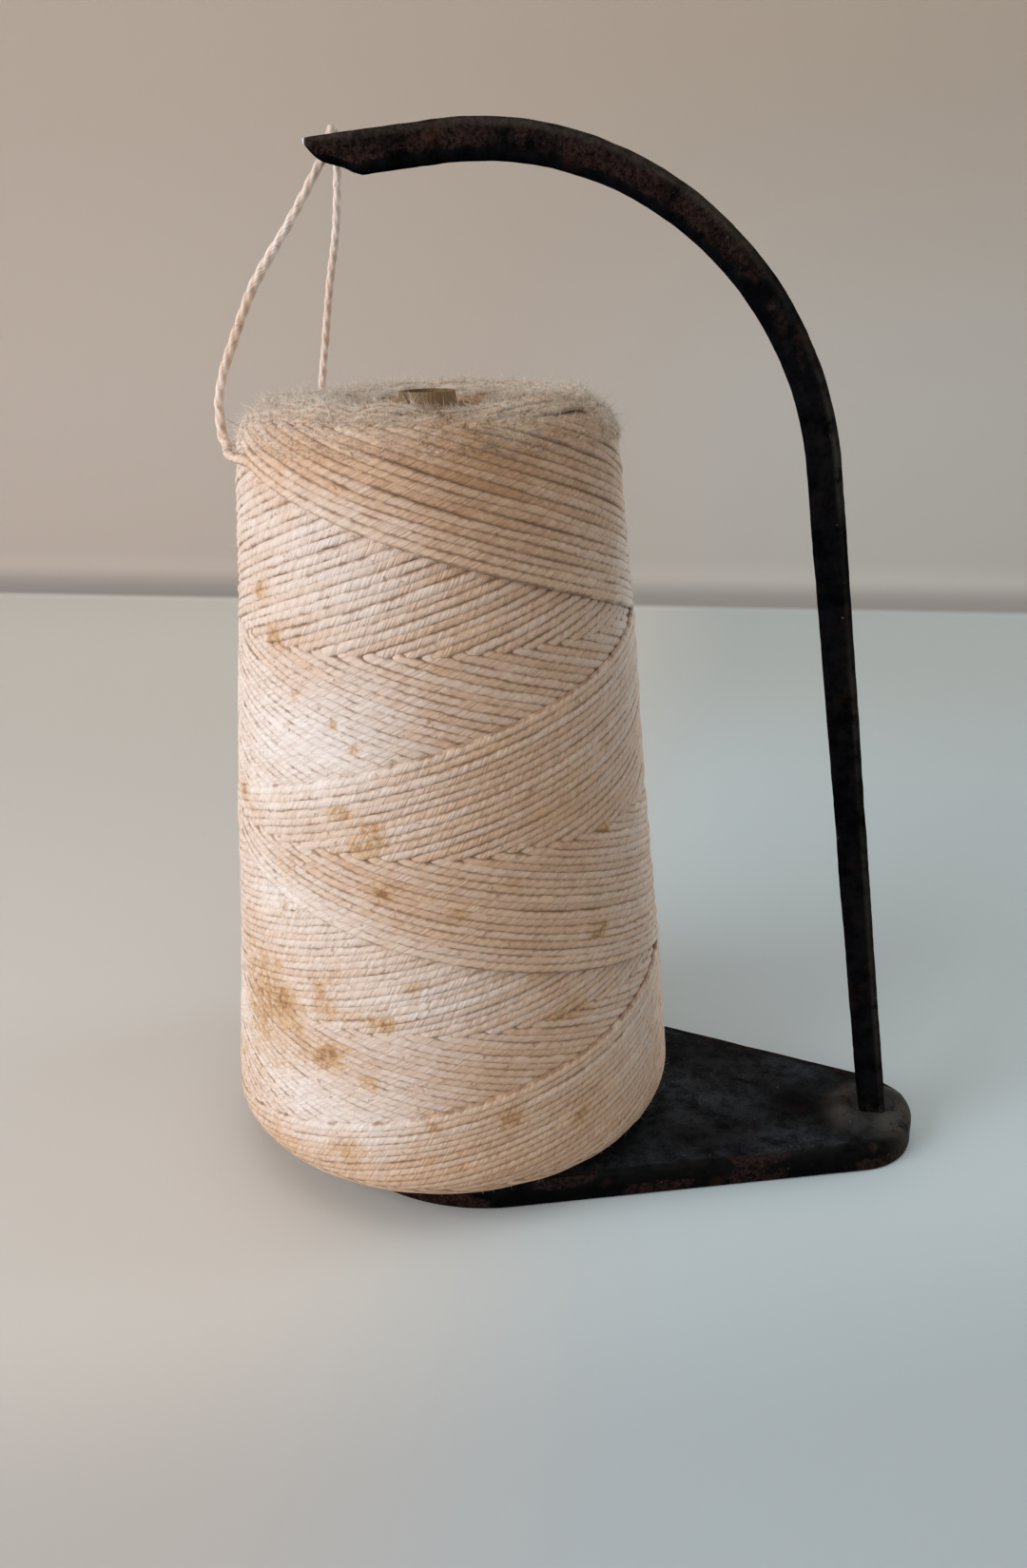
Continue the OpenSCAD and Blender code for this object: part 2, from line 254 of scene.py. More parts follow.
def build_piece(
    name: str,
    points: Array,
    faces: Array,
    material: bpy.types.Material,
    lay: Array | None = None,
    marks: dict[str, Array] | None = None,
    closed: bool = True,
    sharp_deg: float | None = None,
) -> bpy.types.Object:
    """Put arrays of points and faces into a new mesh object at the origin.

    Args:
        name: the piece's name.
        points: millimetres about the spindle axis.
        faces: rows of point numbers, all of one length.
        material: the piece's material.
        lay: UV values, one row for each face corner.
        marks: named values, one for each point.
        closed: whether to turn the faces outwards by the enclosed volume and weld the poles.
        sharp_deg: edges that bend more than this stay sharp.

    Returns:
        The new object.
    """
    if closed:
        turned = facing_out(points, faces)
        if lay is not None and turned is not faces:
            lay = lay.reshape(len(faces), -1, 2)[:, ::-1].reshape(-1, 2)
        faces = turned
    mesh = bpy.data.meshes.new(name)
    mesh.vertices.add(len(points))
    mesh.vertices.foreach_set("co", to_row(points).astype(np.float32).ravel())
    mesh.loops.add(faces.size)
    mesh.loops.foreach_set("vertex_index", faces.astype(np.int32).ravel())
    mesh.polygons.add(len(faces))
    mesh.polygons.foreach_set("loop_start", np.arange(0, faces.size, faces.shape[1], dtype=np.int32))
    if lay is not None:
        mesh.uv_layers.new(name="lay").data.foreach_set("uv", lay.astype(np.float32).ravel())
    for mark, values in (marks or {}).items():
        layer = mesh.attributes.new(mark, "FLOAT", "POINT")
        layer.data.foreach_set("value", values.astype(np.float32).ravel())
    mesh.update(calc_edges=True)
    mesh.validate()
    mesh.shade_smooth()
    if closed:
        weld(mesh)
    if sharp_deg is not None:
        mesh.set_sharp_from_angle(angle=math.radians(sharp_deg))
    mesh.materials.append(material)
    piece = bpy.data.objects.new(name, mesh)
    bpy.context.scene.collection.objects.link(piece)
    return piece


def weld(mesh: bpy.types.Mesh) -> None:
    """Merge points that lie in one place, which closes poles and caps.

    Args:
        mesh: the mesh to change.
    """
    work = bmesh.new()
    work.from_mesh(mesh)
    bmesh.ops.remove_doubles(work, verts=work.verts, dist=1e-6)
    bmesh.ops.dissolve_degenerate(work, edges=work.edges, dist=1e-7)
    work.to_mesh(mesh)
    work.free()


def cut_away(piece: bpy.types.Object, points: Array, quads: Array, sharp_deg: float) -> None:
    """Take a closed tool shape out of a piece, and leave plain mesh behind.

    Args:
        piece: the object to cut.
        points: the tool's points, in millimetres about the spindle axis.
        quads: the tool's faces.
        sharp_deg: edges that bend more than this stay sharp.
    """
    tool = build_piece("cutter", points, quads, piece.data.materials[0])
    cut = piece.modifiers.new("cut", "BOOLEAN")
    cut.operation, cut.solver, cut.object = "DIFFERENCE", "EXACT", tool
    graph = bpy.context.evaluated_depsgraph_get()
    graph.update()
    shown = piece.evaluated_get(graph)
    done = bpy.data.meshes.new_from_object(shown, preserve_all_data_layers=True, depsgraph=graph)
    piece.modifiers.remove(cut)
    piece.data = done
    bpy.data.objects.remove(tool)
    done.shade_smooth()
    done.set_sharp_from_angle(angle=math.radians(sharp_deg))


class NodeGraph:
    """Adds and links the nodes of one shader tree."""

    def __init__(self, tree: bpy.types.NodeTree) -> None:
        """Keep the tree to add to."""
        self.tree = tree

    def node(self, kind: str, inputs: dict[str, Any] | None = None, **settings: Any) -> bpy.types.Node:
        """Add a node, set its properties and feed its inputs.

        Args:
            kind: the node's type name.
            inputs: input names with either a value or a socket to link.
            settings: node properties.

        Returns:
            The new node.
        """
        made = self.tree.nodes.new(kind)
        for key, value in settings.items():
            setattr(made, key, value)
        for key, value in (inputs or {}).items():
            self.feed(made.inputs[key], value)
        return made

    def feed(self, socket: bpy.types.NodeSocket, value: Any) -> None:
        """Link a socket, or set its own value.

        Args:
            socket: the input.
            value: a socket or a plain value.
        """
        if isinstance(value, bpy.types.NodeSocket):
            self.tree.links.new(value, socket)
        elif isinstance(value, tuple) and socket.type == "RGBA" and len(value) == 3:
            socket.default_value = (*value, 1.0)
        else:
            socket.default_value = value

    def math(self, operation: str, *values: Any, clamp: bool = False) -> bpy.types.NodeSocket:
        """Result of a Math node.

        Args:
            operation: what it does.
            values: its inputs, in order.
            clamp: keep the result from 0 to 1.

        Returns:
            The result.
        """
        made = self.node("ShaderNodeMath", operation=operation, use_clamp=clamp)
        for socket, value in zip(made.inputs, values):
            self.feed(socket, value)
        return made.outputs[0]

    def mix(self, share: Any, first: Any, second: Any, blend: str = "MIX") -> bpy.types.NodeSocket:
        """Colour between two colours.

        Args:
            share: share of the second.
            first: one colour.
            second: the other.
            blend: how it is laid on.

        Returns:
            The colour.
        """
        made = self.node("ShaderNodeMix", data_type="RGBA", blend_type=blend, clamp_factor=True)
        by_id = {socket.identifier: socket for socket in made.inputs}
        self.feed(by_id["Factor_Float"], share)
        self.feed(by_id["A_Color"], first)
        self.feed(by_id["B_Color"], second)
        return next(socket for socket in made.outputs if socket.identifier == "Result_Color")

    def noise(
        self, place: Any, scale: float, detail: float = 3.0, rough: float = 0.55, bend: float = 0.0
    ) -> bpy.types.NodeSocket:
        """Value of a Noise texture, from 0 to 1.

        Args:
            place: where it is read.
            scale: cells in a metre.
            detail: finer layers.
            rough: their strength.
            bend: distortion.

        Returns:
            The value.
        """
        values = {"Vector": place, "Scale": scale, "Detail": detail}
        values |= {"Roughness": rough, "Distortion": bend}
        return self.node("ShaderNodeTexNoise", values).outputs["Fac"]

    def between(
        self, value: Any, low: Any, high: Any, low_out: float = 0.0, high_out: float = 1.0
    ) -> bpy.types.NodeSocket:
        """Value eased from low_out to high_out as it goes from low to high.

        Args:
            value: the value.
            low: where it starts.
            high: where it ends.
            low_out: result at low.
            high_out: result at high.

        Returns:
            The eased value.
        """
        values = {"Value": value, "From Min": low, "From Max": high}
        values |= {"To Min": low_out, "To Max": high_out}
        made = self.node("ShaderNodeMapRange", values, interpolation_type="SMOOTHSTEP")
        return made.outputs["Result"]

    def stretched(self, place: Any, scale: tuple[float, float, float]) -> bpy.types.NodeSocket:
        """Place with each axis scaled."""
        return self.node("ShaderNodeMapping", {"Vector": place, "Scale": scale}).outputs["Vector"]

    def joined(self, x: Any, y: Any, z: Any) -> bpy.types.NodeSocket:
        """Vector of three values."""
        return self.node("ShaderNodeCombineXYZ", {"X": x, "Y": y, "Z": z}).outputs["Vector"]

    def mark(self, name: str) -> bpy.types.NodeSocket:
        """A piece's own named value."""
        return self.node("ShaderNodeAttribute", attribute_name=name).outputs["Fac"]

    def group(self, tree: bpy.types.NodeTree, inputs: dict[str, Any]) -> Any:
        """Outputs of a node group placed in this tree, by name."""
        return self.node("ShaderNodeGroup", inputs, node_tree=tree).outputs

    def place(self) -> bpy.types.NodeSocket:
        """Object coordinates."""
        return self.node("ShaderNodeTexCoord").outputs["Object"]

    def lay(self) -> bpy.types.NodeSocket:
        """The piece's own UV: around a strand and along it."""
        return self.node("ShaderNodeUVMap", uv_map="lay").outputs["UV"]


class Port(Enum):
    """Kinds of group sockets."""

    VALUE = "NodeSocketFloat"
    PLACE = "NodeSocketVector"
    COLOUR = "NodeSocketColor"


def make_group(name: str, takes: dict[str, Port], gives: dict[str, Port]) -> tuple[NodeGraph, Any, Any]:
    """Start a shader node group.

    Args:
        name: the group's name.
        takes: input names and kinds.
        gives: output names and kinds.

    Returns:
        The graph, the group's inputs by name, and the node that takes its outputs.
    """
    tree = bpy.data.node_groups.new(name, "ShaderNodeTree")
    for socket, kind in takes.items():
        tree.interface.new_socket(socket, in_out="INPUT", socket_type=kind.value)
    for socket, kind in gives.items():
        tree.interface.new_socket(socket, in_out="OUTPUT", socket_type=kind.value)
    graph = NodeGraph(tree)
    return graph, graph.node("NodeGroupInput").outputs, graph.node("NodeGroupOutput")


def aged_iron_group() -> bpy.types.NodeTree:
    """Old black paint over iron: rust grain, red patches, pits, a few specks, worn edges and bright ends.

    Returns:
        The group.
    """
    takes = {"Place": Port.PLACE, "Wear": Port.VALUE, "Rust": Port.VALUE, "Paint": Port.COLOUR}
    gives = {"Colour": Port.COLOUR, "Roughness": Port.VALUE, "Metal": Port.VALUE, "Height": Port.VALUE}
    g, given, out = make_group("aged_iron", takes, gives)
    place, rust, wear = given["Place"], given["Rust"], given["Wear"]
    patches = g.noise(place, 46.0, 5.0, 0.6, 0.4)
    mottle = g.noise(place, 210.0, 5.0, 0.65)
    grain = g.noise(place, 820.0, 4.0, 0.72)
    pits = g.node("ShaderNodeTexVoronoi", {"Vector": place, "Scale": 430.0}).outputs["Distance"]
    pit = g.between(g.math("MULTIPLY_ADD", mottle, 0.5, pits), 0.22, 0.46)
    kept = g.between(g.math("MULTIPLY_ADD", patches, 0.5, mottle), 0.58, 0.92)
    paint = g.mix(kept, (0.0012, 0.0013, 0.0017), given["Paint"])
    scale = g.mix(g.between(grain, 0.34, 0.68), (0.0034, 0.0020, 0.0018), (0.031, 0.0170, 0.0143))
    spread = g.math("MULTIPLY_ADD", patches, 0.62, g.math("MULTIPLY", mottle, 0.38))
    bar = g.math("MULTIPLY_ADD", rust, -0.26, 0.66)
    rusted = g.between(spread, bar, g.math("ADD", bar, 0.12))
    colour = g.mix(rusted, paint, scale)
    reddish = g.between(g.noise(place, 120.0, 4.0, 0.6), 0.56, 0.70)
    red = g.math("MULTIPLY", reddish, g.math("MULTIPLY", rust, 0.55))
    colour = g.mix(red, colour, (0.048, 0.0190, 0.0130))
    colour = g.mix(g.between(pit, 0.9, 0.2, 0.0, 0.6), colour, (0.0025, 0.0022, 0.0022))
    rubbed = g.between(g.math("MULTIPLY_ADD", patches, 0.4, mottle), 0.46, 0.74)
    worn = g.math("MULTIPLY", wear, rubbed, clamp=True)
    colour = g.mix(worn, colour, g.mix(grain, (0.036, 0.030, 0.023), (0.104, 0.090, 0.072)))
    speck = g.between(g.noise(place, 640.0, 1.0, 0.4), 0.780, 0.805, 0.0, 0.5)
    colour = g.mix(speck, colour, (0.10, 0.093, 0.083))
    bright = g.between(wear, 1.05, 1.45)
    colour = g.mix(bright, colour, g.mix(grain, (0.20, 0.20, 0.21), (0.36, 0.36, 0.375)))
    rough = g.math("MULTIPLY_ADD", rusted, 0.20, g.math("MULTIPLY_ADD", mottle, 0.22, 0.42))
    rough = g.math("MULTIPLY_ADD", worn, -0.12, rough)
    rough = g.math("MULTIPLY_ADD", bright, -0.18, rough)
    height = g.math("MULTIPLY_ADD", grain, 0.45, g.math("MULTIPLY", pit, 0.55))
    height = g.math("MULTIPLY_ADD", rusted, 0.22, height)
    results = {"Colour": colour, "Roughness": rough, "Metal": bright, "Height": height}
    for name, value in results.items():
        g.feed(out.inputs[name], value)
    return g.tree


def dust_group() -> bpy.types.NodeTree:
    """Pale dust that lies unevenly over a colour.

    Returns:
        The group.
    """
    takes = {"Place": Port.PLACE, "Colour": Port.COLOUR, "Amount": Port.VALUE, "Dust": Port.COLOUR}
    g, given, out = make_group("dust", takes, {"Colour": Port.COLOUR})
    clumps = g.noise(given["Place"], 190.0, 5.0, 0.7, 0.3)
    lint = g.noise(given["Place"], 1400.0, 2.0, 0.6)
    lying = g.between(g.math("MULTIPLY_ADD", lint, 0.35, clumps), 0.42, 0.92)
    cover = g.math("MULTIPLY", given["Amount"], lying)
    g.feed(out.inputs["Colour"], g.mix(cover, given["Colour"], given["Dust"]))
    return g.tree


def twine_group() -> bpy.types.NodeTree:
    """Cotton twine: fibres round each strand, broken painted shade in the gaps beside it, soil, stains
    and rust spots.

    On a fibre, the turn round the strand less the length along it, over the lay's length, stays the same.
    Nest says how deep a strand lies between its neighbours and so how much painted gap shade it gets, and
    Strand sets strands apart.

    Returns:
        The group.
    """
    takes = {"Place": Port.PLACE, "Lay": Port.PLACE, "Tone": Port.VALUE, "Stain": Port.VALUE}
    takes |= {"Soil": Port.VALUE, "Nest": Port.VALUE, "Strand": Port.VALUE}
    g, given, out = make_group("twine", takes, {"Colour": Port.COLOUR, "Height": Port.VALUE})
    place, stain, soil = given["Place"], given["Stain"], given["Soil"]
    lay = g.node("ShaderNodeSeparateXYZ", {"Vector": given["Lay"]}).outputs
    wobble = g.noise(place, 420.0, 2.0)
    turn = g.math("MULTIPLY_ADD", lay["Y"], -1.0 / LAY_LENGTH, lay["X"])
    turn = g.math("MULTIPLY_ADD", wobble, 0.06, turn)
    own = g.math("MULTIPLY", given["Strand"], 3.7)
    along = g.math("MULTIPLY", lay["Y"], 0.045)
    streak = g.noise(g.joined(g.math("MULTIPLY", turn, 7.0), along, own), 1.0, 3.0, 0.6)
    hair = g.noise(g.joined(g.math("MULTIPLY", turn, 21.0), along, own), 1.0, 2.0, 0.5)
    ply = g.between(g.math("PINGPONG", g.math("MULTIPLY", turn, 3.0), 0.5), 0.0, 0.20)
    # Painted shade: each strand's flanks, where it meets its neighbours, are darkened in broken runs.
    across = g.math("SINE", g.math("MULTIPLY", lay["X"], TAU))
    flank = g.math("MULTIPLY", g.math("GREATER_THAN", lay["X"], 0.25), 9.0)
    gap_lane = g.joined(g.math("MULTIPLY", lay["Y"], 0.15), own, flank)
    lane = g.math("MULTIPLY_ADD", soil, 0.15, g.noise(gap_lane, 1.0, 3.0, 0.6))
    opened = g.between(lane, 0.50, 0.72, 0.03, 0.95)
    bulge = g.math("MULTIPLY", g.math("COSINE", g.math("MULTIPLY", turn, 3.0 * TAU)), 0.05)
    beside = g.between(g.math("ADD", across, bulge), 0.97, 0.68)
    gap = g.math("MULTIPLY", beside, g.math("MULTIPLY", opened, given["Nest"]))
    blot = g.noise(place, 250.0, 5.0, 0.66, 0.7)
    fine = g.noise(place, 760.0, 3.0, 0.6)
    speckle = g.noise(place, 430.0, 4.0, 0.62, 0.4)
    broken = g.math("MULTIPLY", stain, g.between(blot, 0.36, 0.64, 0.92, 1.48))
    spots = g.math("MULTIPLY_ADD", g.math("SUBTRACT", speckle, 0.5), 1.7, broken)
    spots = g.math("MULTIPLY_ADD", g.math("SUBTRACT", fine, 0.5), 0.70, spots)
    # High tone gives the paler colour; on the window side of the cone this is painted light.
    colour = g.mix(given["Tone"], (0.800, 0.690, 0.625), (0.885, 0.805, 0.755))
    cloud = g.between(g.noise(place, 30.0, 4.0, 0.6, 0.6), 0.42, 0.80, -0.10, 0.30)
    patch = g.math("MULTIPLY_ADD", g.math("SUBTRACT", blot, 0.5), g.math("MULTIPLY", soil, 1.1), soil)
    washed = g.mix(1.0, colour, (0.840, 0.645, 0.490), "MULTIPLY")
    soiled = g.math("ADD", patch, cloud)
    colour = g.mix(soiled, colour, washed)
    deep = g.mix(1.0, colour, (0.720, 0.600, 0.460), "MULTIPLY")
    colour = g.mix(g.math("SUBTRACT", soiled, 1.0, clamp=True), colour, deep)
    for low, high, most, rusty in SPOT_STAGES:
        colour = g.mix(g.between(spots, low, high, 0.0, most), colour, rusty)
    fleck = g.between(g.noise(place, 520.0, 2.0, 0.5), 0.665, 0.74, 0.0, 0.60)
    colour = g.mix(fleck, colour, (0.360, 0.205, 0.105))
    # Lay the painted gap shade over the colour.
    colour = g.mix(gap, colour, (0.330, 0.195, 0.112))
    threads = g.between(hair, 0.34, 0.66, 0.0, 0.45)
    strands = g.math("MULTIPLY_ADD", g.between(streak, 0.34, 0.62), 0.55, threads)
    shaded = g.mix(1.0, colour, (0.62, 0.51, 0.44), "MULTIPLY")
    colour = g.mix(g.between(strands, 0.80, 0.05, 0.0, 0.42), colour, shaded)
    height = g.math("MULTIPLY_ADD", strands, 1.1, g.math("MULTIPLY", ply, 0.4))
    g.feed(out.inputs["Colour"], colour)
    g.feed(out.inputs["Height"], height)
    return g.tree


@dataclass
class Workshop:
    """Shared node groups, built once, and the materials made from them."""

    iron: bpy.types.NodeTree = field(default_factory=aged_iron_group)
    dust: bpy.types.NodeTree = field(default_factory=dust_group)
    twine: bpy.types.NodeTree = field(default_factory=twine_group)

    @staticmethod
    def start(name: str) -> tuple[bpy.types.Material, NodeGraph, bpy.types.Node]:
        """New material with its graph and its Principled shader.

        Args:
            name: the material's name.

        Returns:
            The material, its graph and its shader.
        """
        material = bpy.data.materials.new(name)
        material.use_nodes = True
        graph = NodeGraph(material.node_tree)
        return material, graph, material.node_tree.nodes["Principled BSDF"]

    @staticmethod
    def bump(
        graph: NodeGraph, shader: bpy.types.Node, height: Any, depth_mm: float, strength: float
    ) -> None:
        """Feed a Bump node into the shader's normal."""
        values = {"Height": height, "Distance": depth_mm * MM, "Strength": strength}
        graph.feed(shader.inputs["Normal"], graph.node("ShaderNodeBump", values).outputs["Normal"])

    def dusted(
        self, graph: NodeGraph, place: Any, colour: Any, amount: Any, dust: Colour
    ) -> bpy.types.NodeSocket:
        """Colour with the shared dust laid over it."""
        values = {"Place": place, "Colour": colour, "Amount": amount, "Dust": dust}
        return graph.group(self.dust, values)["Colour"]


@dataclass(frozen=True)
class IronFinish:
    """Worn black iron, with its own share of rust and dust."""

    name: str
    rust: float
    dust: float
    paint: Colour = (0.0046, 0.0047, 0.0055)
    # Colour of settled dust; the base's bluish one also paints a reflection.
    dust_colour: Colour = (0.050, 0.046, 0.037)
    specular: float = 0.055
    bump_mm: float = 0.28

    def material(self, shop: Workshop) -> bpy.types.Material:
        """Make the material; wear, rust and settled dust come from the piece's own values.

        Args:
            shop: shared node groups.

        Returns:
            The material.
        """
        material, g, shader = shop.start(self.name)
        place = g.place()
        rust = g.math("ADD", g.mark("rust"), self.rust)
        takes = {"Place": place, "Wear": g.mark("wear"), "Rust": rust, "Paint": self.paint}
        iron = g.group(shop.iron, takes)
        amount = g.math("MULTIPLY", g.mark("settle"), self.dust)
        colour = shop.dusted(g, place, iron["Colour"], amount, self.dust_colour)
        g.feed(shader.inputs["Base Color"], colour)
        g.feed(shader.inputs["Roughness"], iron["Roughness"])
        g.feed(shader.inputs["Metallic"], iron["Metal"])
        shader.inputs["Specular IOR Level"].default_value = self.specular
        shop.bump(g, shader, iron["Height"], self.bump_mm, 0.75)
        return material


@dataclass(frozen=True)
class TwineFinish:
    """Cotton twine, with its own dust and sheen."""

    name: str
    dust: Colour = (0.700, 0.615, 0.510)
    sheen: float = 0.12
    bump_mm: float = 0.18

    def material(self, shop: Workshop) -> bpy.types.Material:
        """Make the material; tone, stain, soil, nest, strand and dust come from the piece's own values.

        Args:
            shop: shared node groups.

        Returns:
            The material.
        """
        material, g, shader = shop.start(self.name)
        place = g.place()
        own = {name.capitalize(): g.mark(name) for name in ("tone", "stain", "soil", "nest", "strand")}
        twine = g.group(shop.twine, {"Place": place, "Lay": g.lay(), **own})
        colour = shop.dusted(g, place, twine["Colour"], g.mark("settle"), self.dust)
        g.feed(shader.inputs["Base Color"], colour)
        shader.inputs["Roughness"].default_value = 0.92
        shader.inputs["Specular IOR Level"].default_value = 0.15
        shader.inputs["Sheen Weight"].default_value = self.sheen
        shader.inputs["Sheen Roughness"].default_value = 0.6
        shop.bump(g, shader, twine["Height"], self.bump_mm, 0.8)
        return material


@dataclass(frozen=True)
class LintFinish:
    """Loose cotton fibres, pale or dusty by the piece's own values."""

    name: str = "lint"
    clean: Colour = (0.86, 0.74, 0.64)
    dusty: Colour = (0.86, 0.775, 0.67)
    shaded: Colour = (0.58, 0.51, 0.44)
    soiled: Colour = (0.46, 0.36, 0.26)

    def material(self, shop: Workshop) -> bpy.types.Material:
        """Make the material.

        Args:
            shop: shared node groups.

        Returns:
            The material.
        """
        material, g, shader = shop.start(self.name)
        patch = g.noise(g.place(), 240.0, 3.0)
        share = g.math("MULTIPLY", g.mark("settle"), g.between(patch, 0.25, 0.6, 0.6, 1.0))
        colour = g.mix(share, self.clean, self.dusty)
        washed = g.mix(1.0, colour, self.soiled, "MULTIPLY")
        soiled = g.math("MULTIPLY", g.mark("soil"), g.between(patch, 0.36, 0.60))
        colour = g.mix(soiled, colour, washed)
        deep = g.mix(1.0, colour, self.shaded, "MULTIPLY")
        g.feed(shader.inputs["Base Color"], g.mix(g.mark("tone"), deep, colour))
        shader.inputs["Roughness"].default_value = 0.9
        shader.inputs["Specular IOR Level"].default_value = 0.15
        return material


@dataclass(frozen=True)
class PackingShadeFinish:
    """Matted twine seen in the gaps between strands, painted dark as the shade in those gaps."""

    name: str = "twine_packing_shade"
    dark: Colour = (0.20, 0.115, 0.068)
    pale: Colour = (0.40, 0.265, 0.175)
    blotted: Colour = (0.10, 0.05, 0.022)

    def material(self, shop: Workshop) -> bpy.types.Material:
        """Make the material.

        Args:
            shop: shared node groups.

        Returns:
            The material.
        """
        material, g, shader = shop.start(self.name)
        place = g.place()
        fibre = g.noise(g.stretched(place, (1.0, 1.0, 5.0)), 420.0, 4.0, 0.7)
        blot = g.noise(place, 60.0, 4.0, 0.6)
        colour = g.mix(fibre, self.dark, self.pale)
        # Painted shade: darker patches deepen the shade seen through the gaps.
        deeper_share = g.between(blot, 0.5, 0.8, 0.0, 0.5)
        g.feed(shader.inputs["Base Color"], g.mix(deeper_share, colour, self.blotted))
        shader.inputs["Roughness"].default_value = 0.95
        shop.bump(g, shader, fibre, 0.4, 0.7)
        return material


@dataclass(frozen=True)
class PaperFinish:
    """Brown rolled paper with a spiral seam, ribs with painted shade in their grooves, and dust."""

    name: str = "core_paper"
    dark: Colour = (0.150, 0.088, 0.034)
    pale: Colour = (0.320, 0.200, 0.088)
    seam_colour: Colour = (0.045, 0.024, 0.012)
    rib_colour: Colour = (0.035, 0.020, 0.012)
    dust: Colour = (0.30, 0.26, 0.19)

    def material(self, shop: Workshop) -> bpy.types.Material:
        """Make the material.

        Args:
            shop: shared node groups.

        Returns:
            The material.
        """
        material, g, shader = shop.start(self.name)
        place = g.place()
        lay = g.node("ShaderNodeSeparateXYZ", {"Vector": g.lay()}).outputs
        spiral = g.math("MULTIPLY_ADD", lay["X"], 2.0, g.math("MULTIPLY", lay["Y"], 0.036))
        seam = g.math("PINGPONG", spiral, 0.5)
        rib = g.math("PINGPONG", g.math("MULTIPLY", lay["X"], 44.0), 0.5)
        mottle = g.noise(g.stretched(place, (1.0, 1.0, 0.25)), 700.0, 4.0, 0.7)
        colour = g.mix(mottle, self.dark, self.pale)
        colour = g.mix(g.between(seam, 0.05, 0.0, 0.0, 0.6), colour, self.seam_colour)
        # Painted shade: the grooves between the ribs, where the bump is lowest, are darkened.
        colour = g.mix(g.between(rib, 0.2, 0.0, 0.0, 0.45), colour, self.rib_colour)
        colour = shop.dusted(g, place, colour, g.mark("settle"), self.dust)
        g.feed(shader.inputs["Base Color"], colour)
        shader.inputs["Roughness"].default_value = 0.82
        raised = g.math("ADD", g.between(seam, 0.0, 0.06), g.math("MULTIPLY", rib, 0.8))
        shop.bump(g, shader, raised, 0.3, 0.6)
        return material


@dataclass(frozen=True)
class TurnedFinish:
    """Dull turned steel with fine rings and light rust."""

    name: str = "turned_steel"
    dark: Colour = (0.20, 0.19, 0.178)
    pale: Colour = (0.34, 0.325, 0.30)
    rusty: Colour = (0.105, 0.052, 0.028)

    def material(self, shop: Workshop) -> bpy.types.Material:
        """Make the material.

        Args:
            shop: shared node groups.

        Returns:
            The material.
        """
        material, g, shader = shop.start(self.name)
        place = g.place()
        rings = g.noise(g.stretched(place, (0.02, 0.02, 1.0)), 4200.0, 2.0)
        stain = g.noise(place, 150.0, 5.0, 0.65, 0.4)
        colour = g.mix(rings, self.dark, self.pale)
        rust = g.between(stain, 0.50, 0.68)
        g.feed(shader.inputs["Base Color"], g.mix(rust, colour, self.rusty))
        g.feed(shader.inputs["Metallic"], g.math("SUBTRACT", 0.95, g.math("MULTIPLY", rust, 0.85)))
        rough = g.math("MULTIPLY_ADD", rings, 0.15, 0.34)
        g.feed(shader.inputs["Roughness"], g.math("MULTIPLY_ADD", rust, 0.35, rough))
        shop.bump(g, shader, g.math("ADD", rings, g.math("MULTIPLY", stain, 0.6)), 0.05, 0.6)
        return material


@dataclass(frozen=True)
class PhotoCamera:
    """Camera that stands where the picture was taken from."""

    eye: tuple[float, float, float] = (81.06, -334.78, 239.35)
    heading_deg: float = 10.29
    pitch_deg: float = 21.17
    roll_deg: float = 1.25
    focal_px: float = 1350.0
    long_side_px: float = 1649.0
    sensor_mm: float = 36.0

    def place(self) -> bpy.types.Object:
        """Add the camera and make it the scene's own.

        Returns:
            The camera object.
        """
        h, p, r = (math.radians(a) for a in (self.heading_deg, self.pitch_deg, self.roll_deg))
        ahead = np.array([-math.sin(h) * math.cos(p), math.cos(h) * math.cos(p), -math.sin(p)])
        level = np.array([math.cos(h), math.sin(h), 0.0])
        up = np.cross(level, ahead)
        right = level * math.cos(r) - up * math.sin(r)
        up = up * math.cos(r) + level * math.sin(r)
        matrix = np.eye(4)
        matrix[:3, 0], matrix[:3, 1], matrix[:3, 2] = right, up, -ahead
        matrix[:3, 3] = to_row(np.array(self.eye))
        data = bpy.data.cameras.new("photo_camera")
        data.sensor_fit = "AUTO"
        data.sensor_width = self.sensor_mm
        data.lens = self.focal_px * self.sensor_mm / self.long_side_px
        data.clip_start, data.clip_end = 0.01, 20.0
        camera = bpy.data.objects.new("photo_camera", data)
        camera.matrix_world = Matrix(matrix.tolist())
        bpy.context.scene.collection.objects.link(camera)
        bpy.context.scene.camera = camera
        return camera


@dataclass(frozen=True)
class Softbox:
    """One soft lamp: where it stands, how large and how strong it is."""

    name: str
    place: tuple[float, float, float]
    size: float
    watts: float
    colour: Colour

    def hang(self, target: tuple[float, float, float]) -> None:
        """Add the lamp, facing a target in the row frame.

        Args:
            target: the place that the lamp faces.
        """
        data = bpy.data.lights.new(self.name, "AREA")
        data.shape, data.size, data.energy, data.color = "DISK", self.size, self.watts, self.colour
        lamp = bpy.data.objects.new(self.name, data)
        away = unit(np.array(self.place) - np.array(target))
        side = unit(np.cross((0.0, 0.0, 1.0), away))
        matrix = np.eye(4)
        matrix[:3, 0], matrix[:3, 1] = side, np.cross(away, side)
        matrix[:3, 2], matrix[:3, 3] = away, self.place
        lamp.matrix_world = Matrix(matrix.tolist())
        lamp.visible_camera = False
        bpy.context.scene.collection.objects.link(lamp)


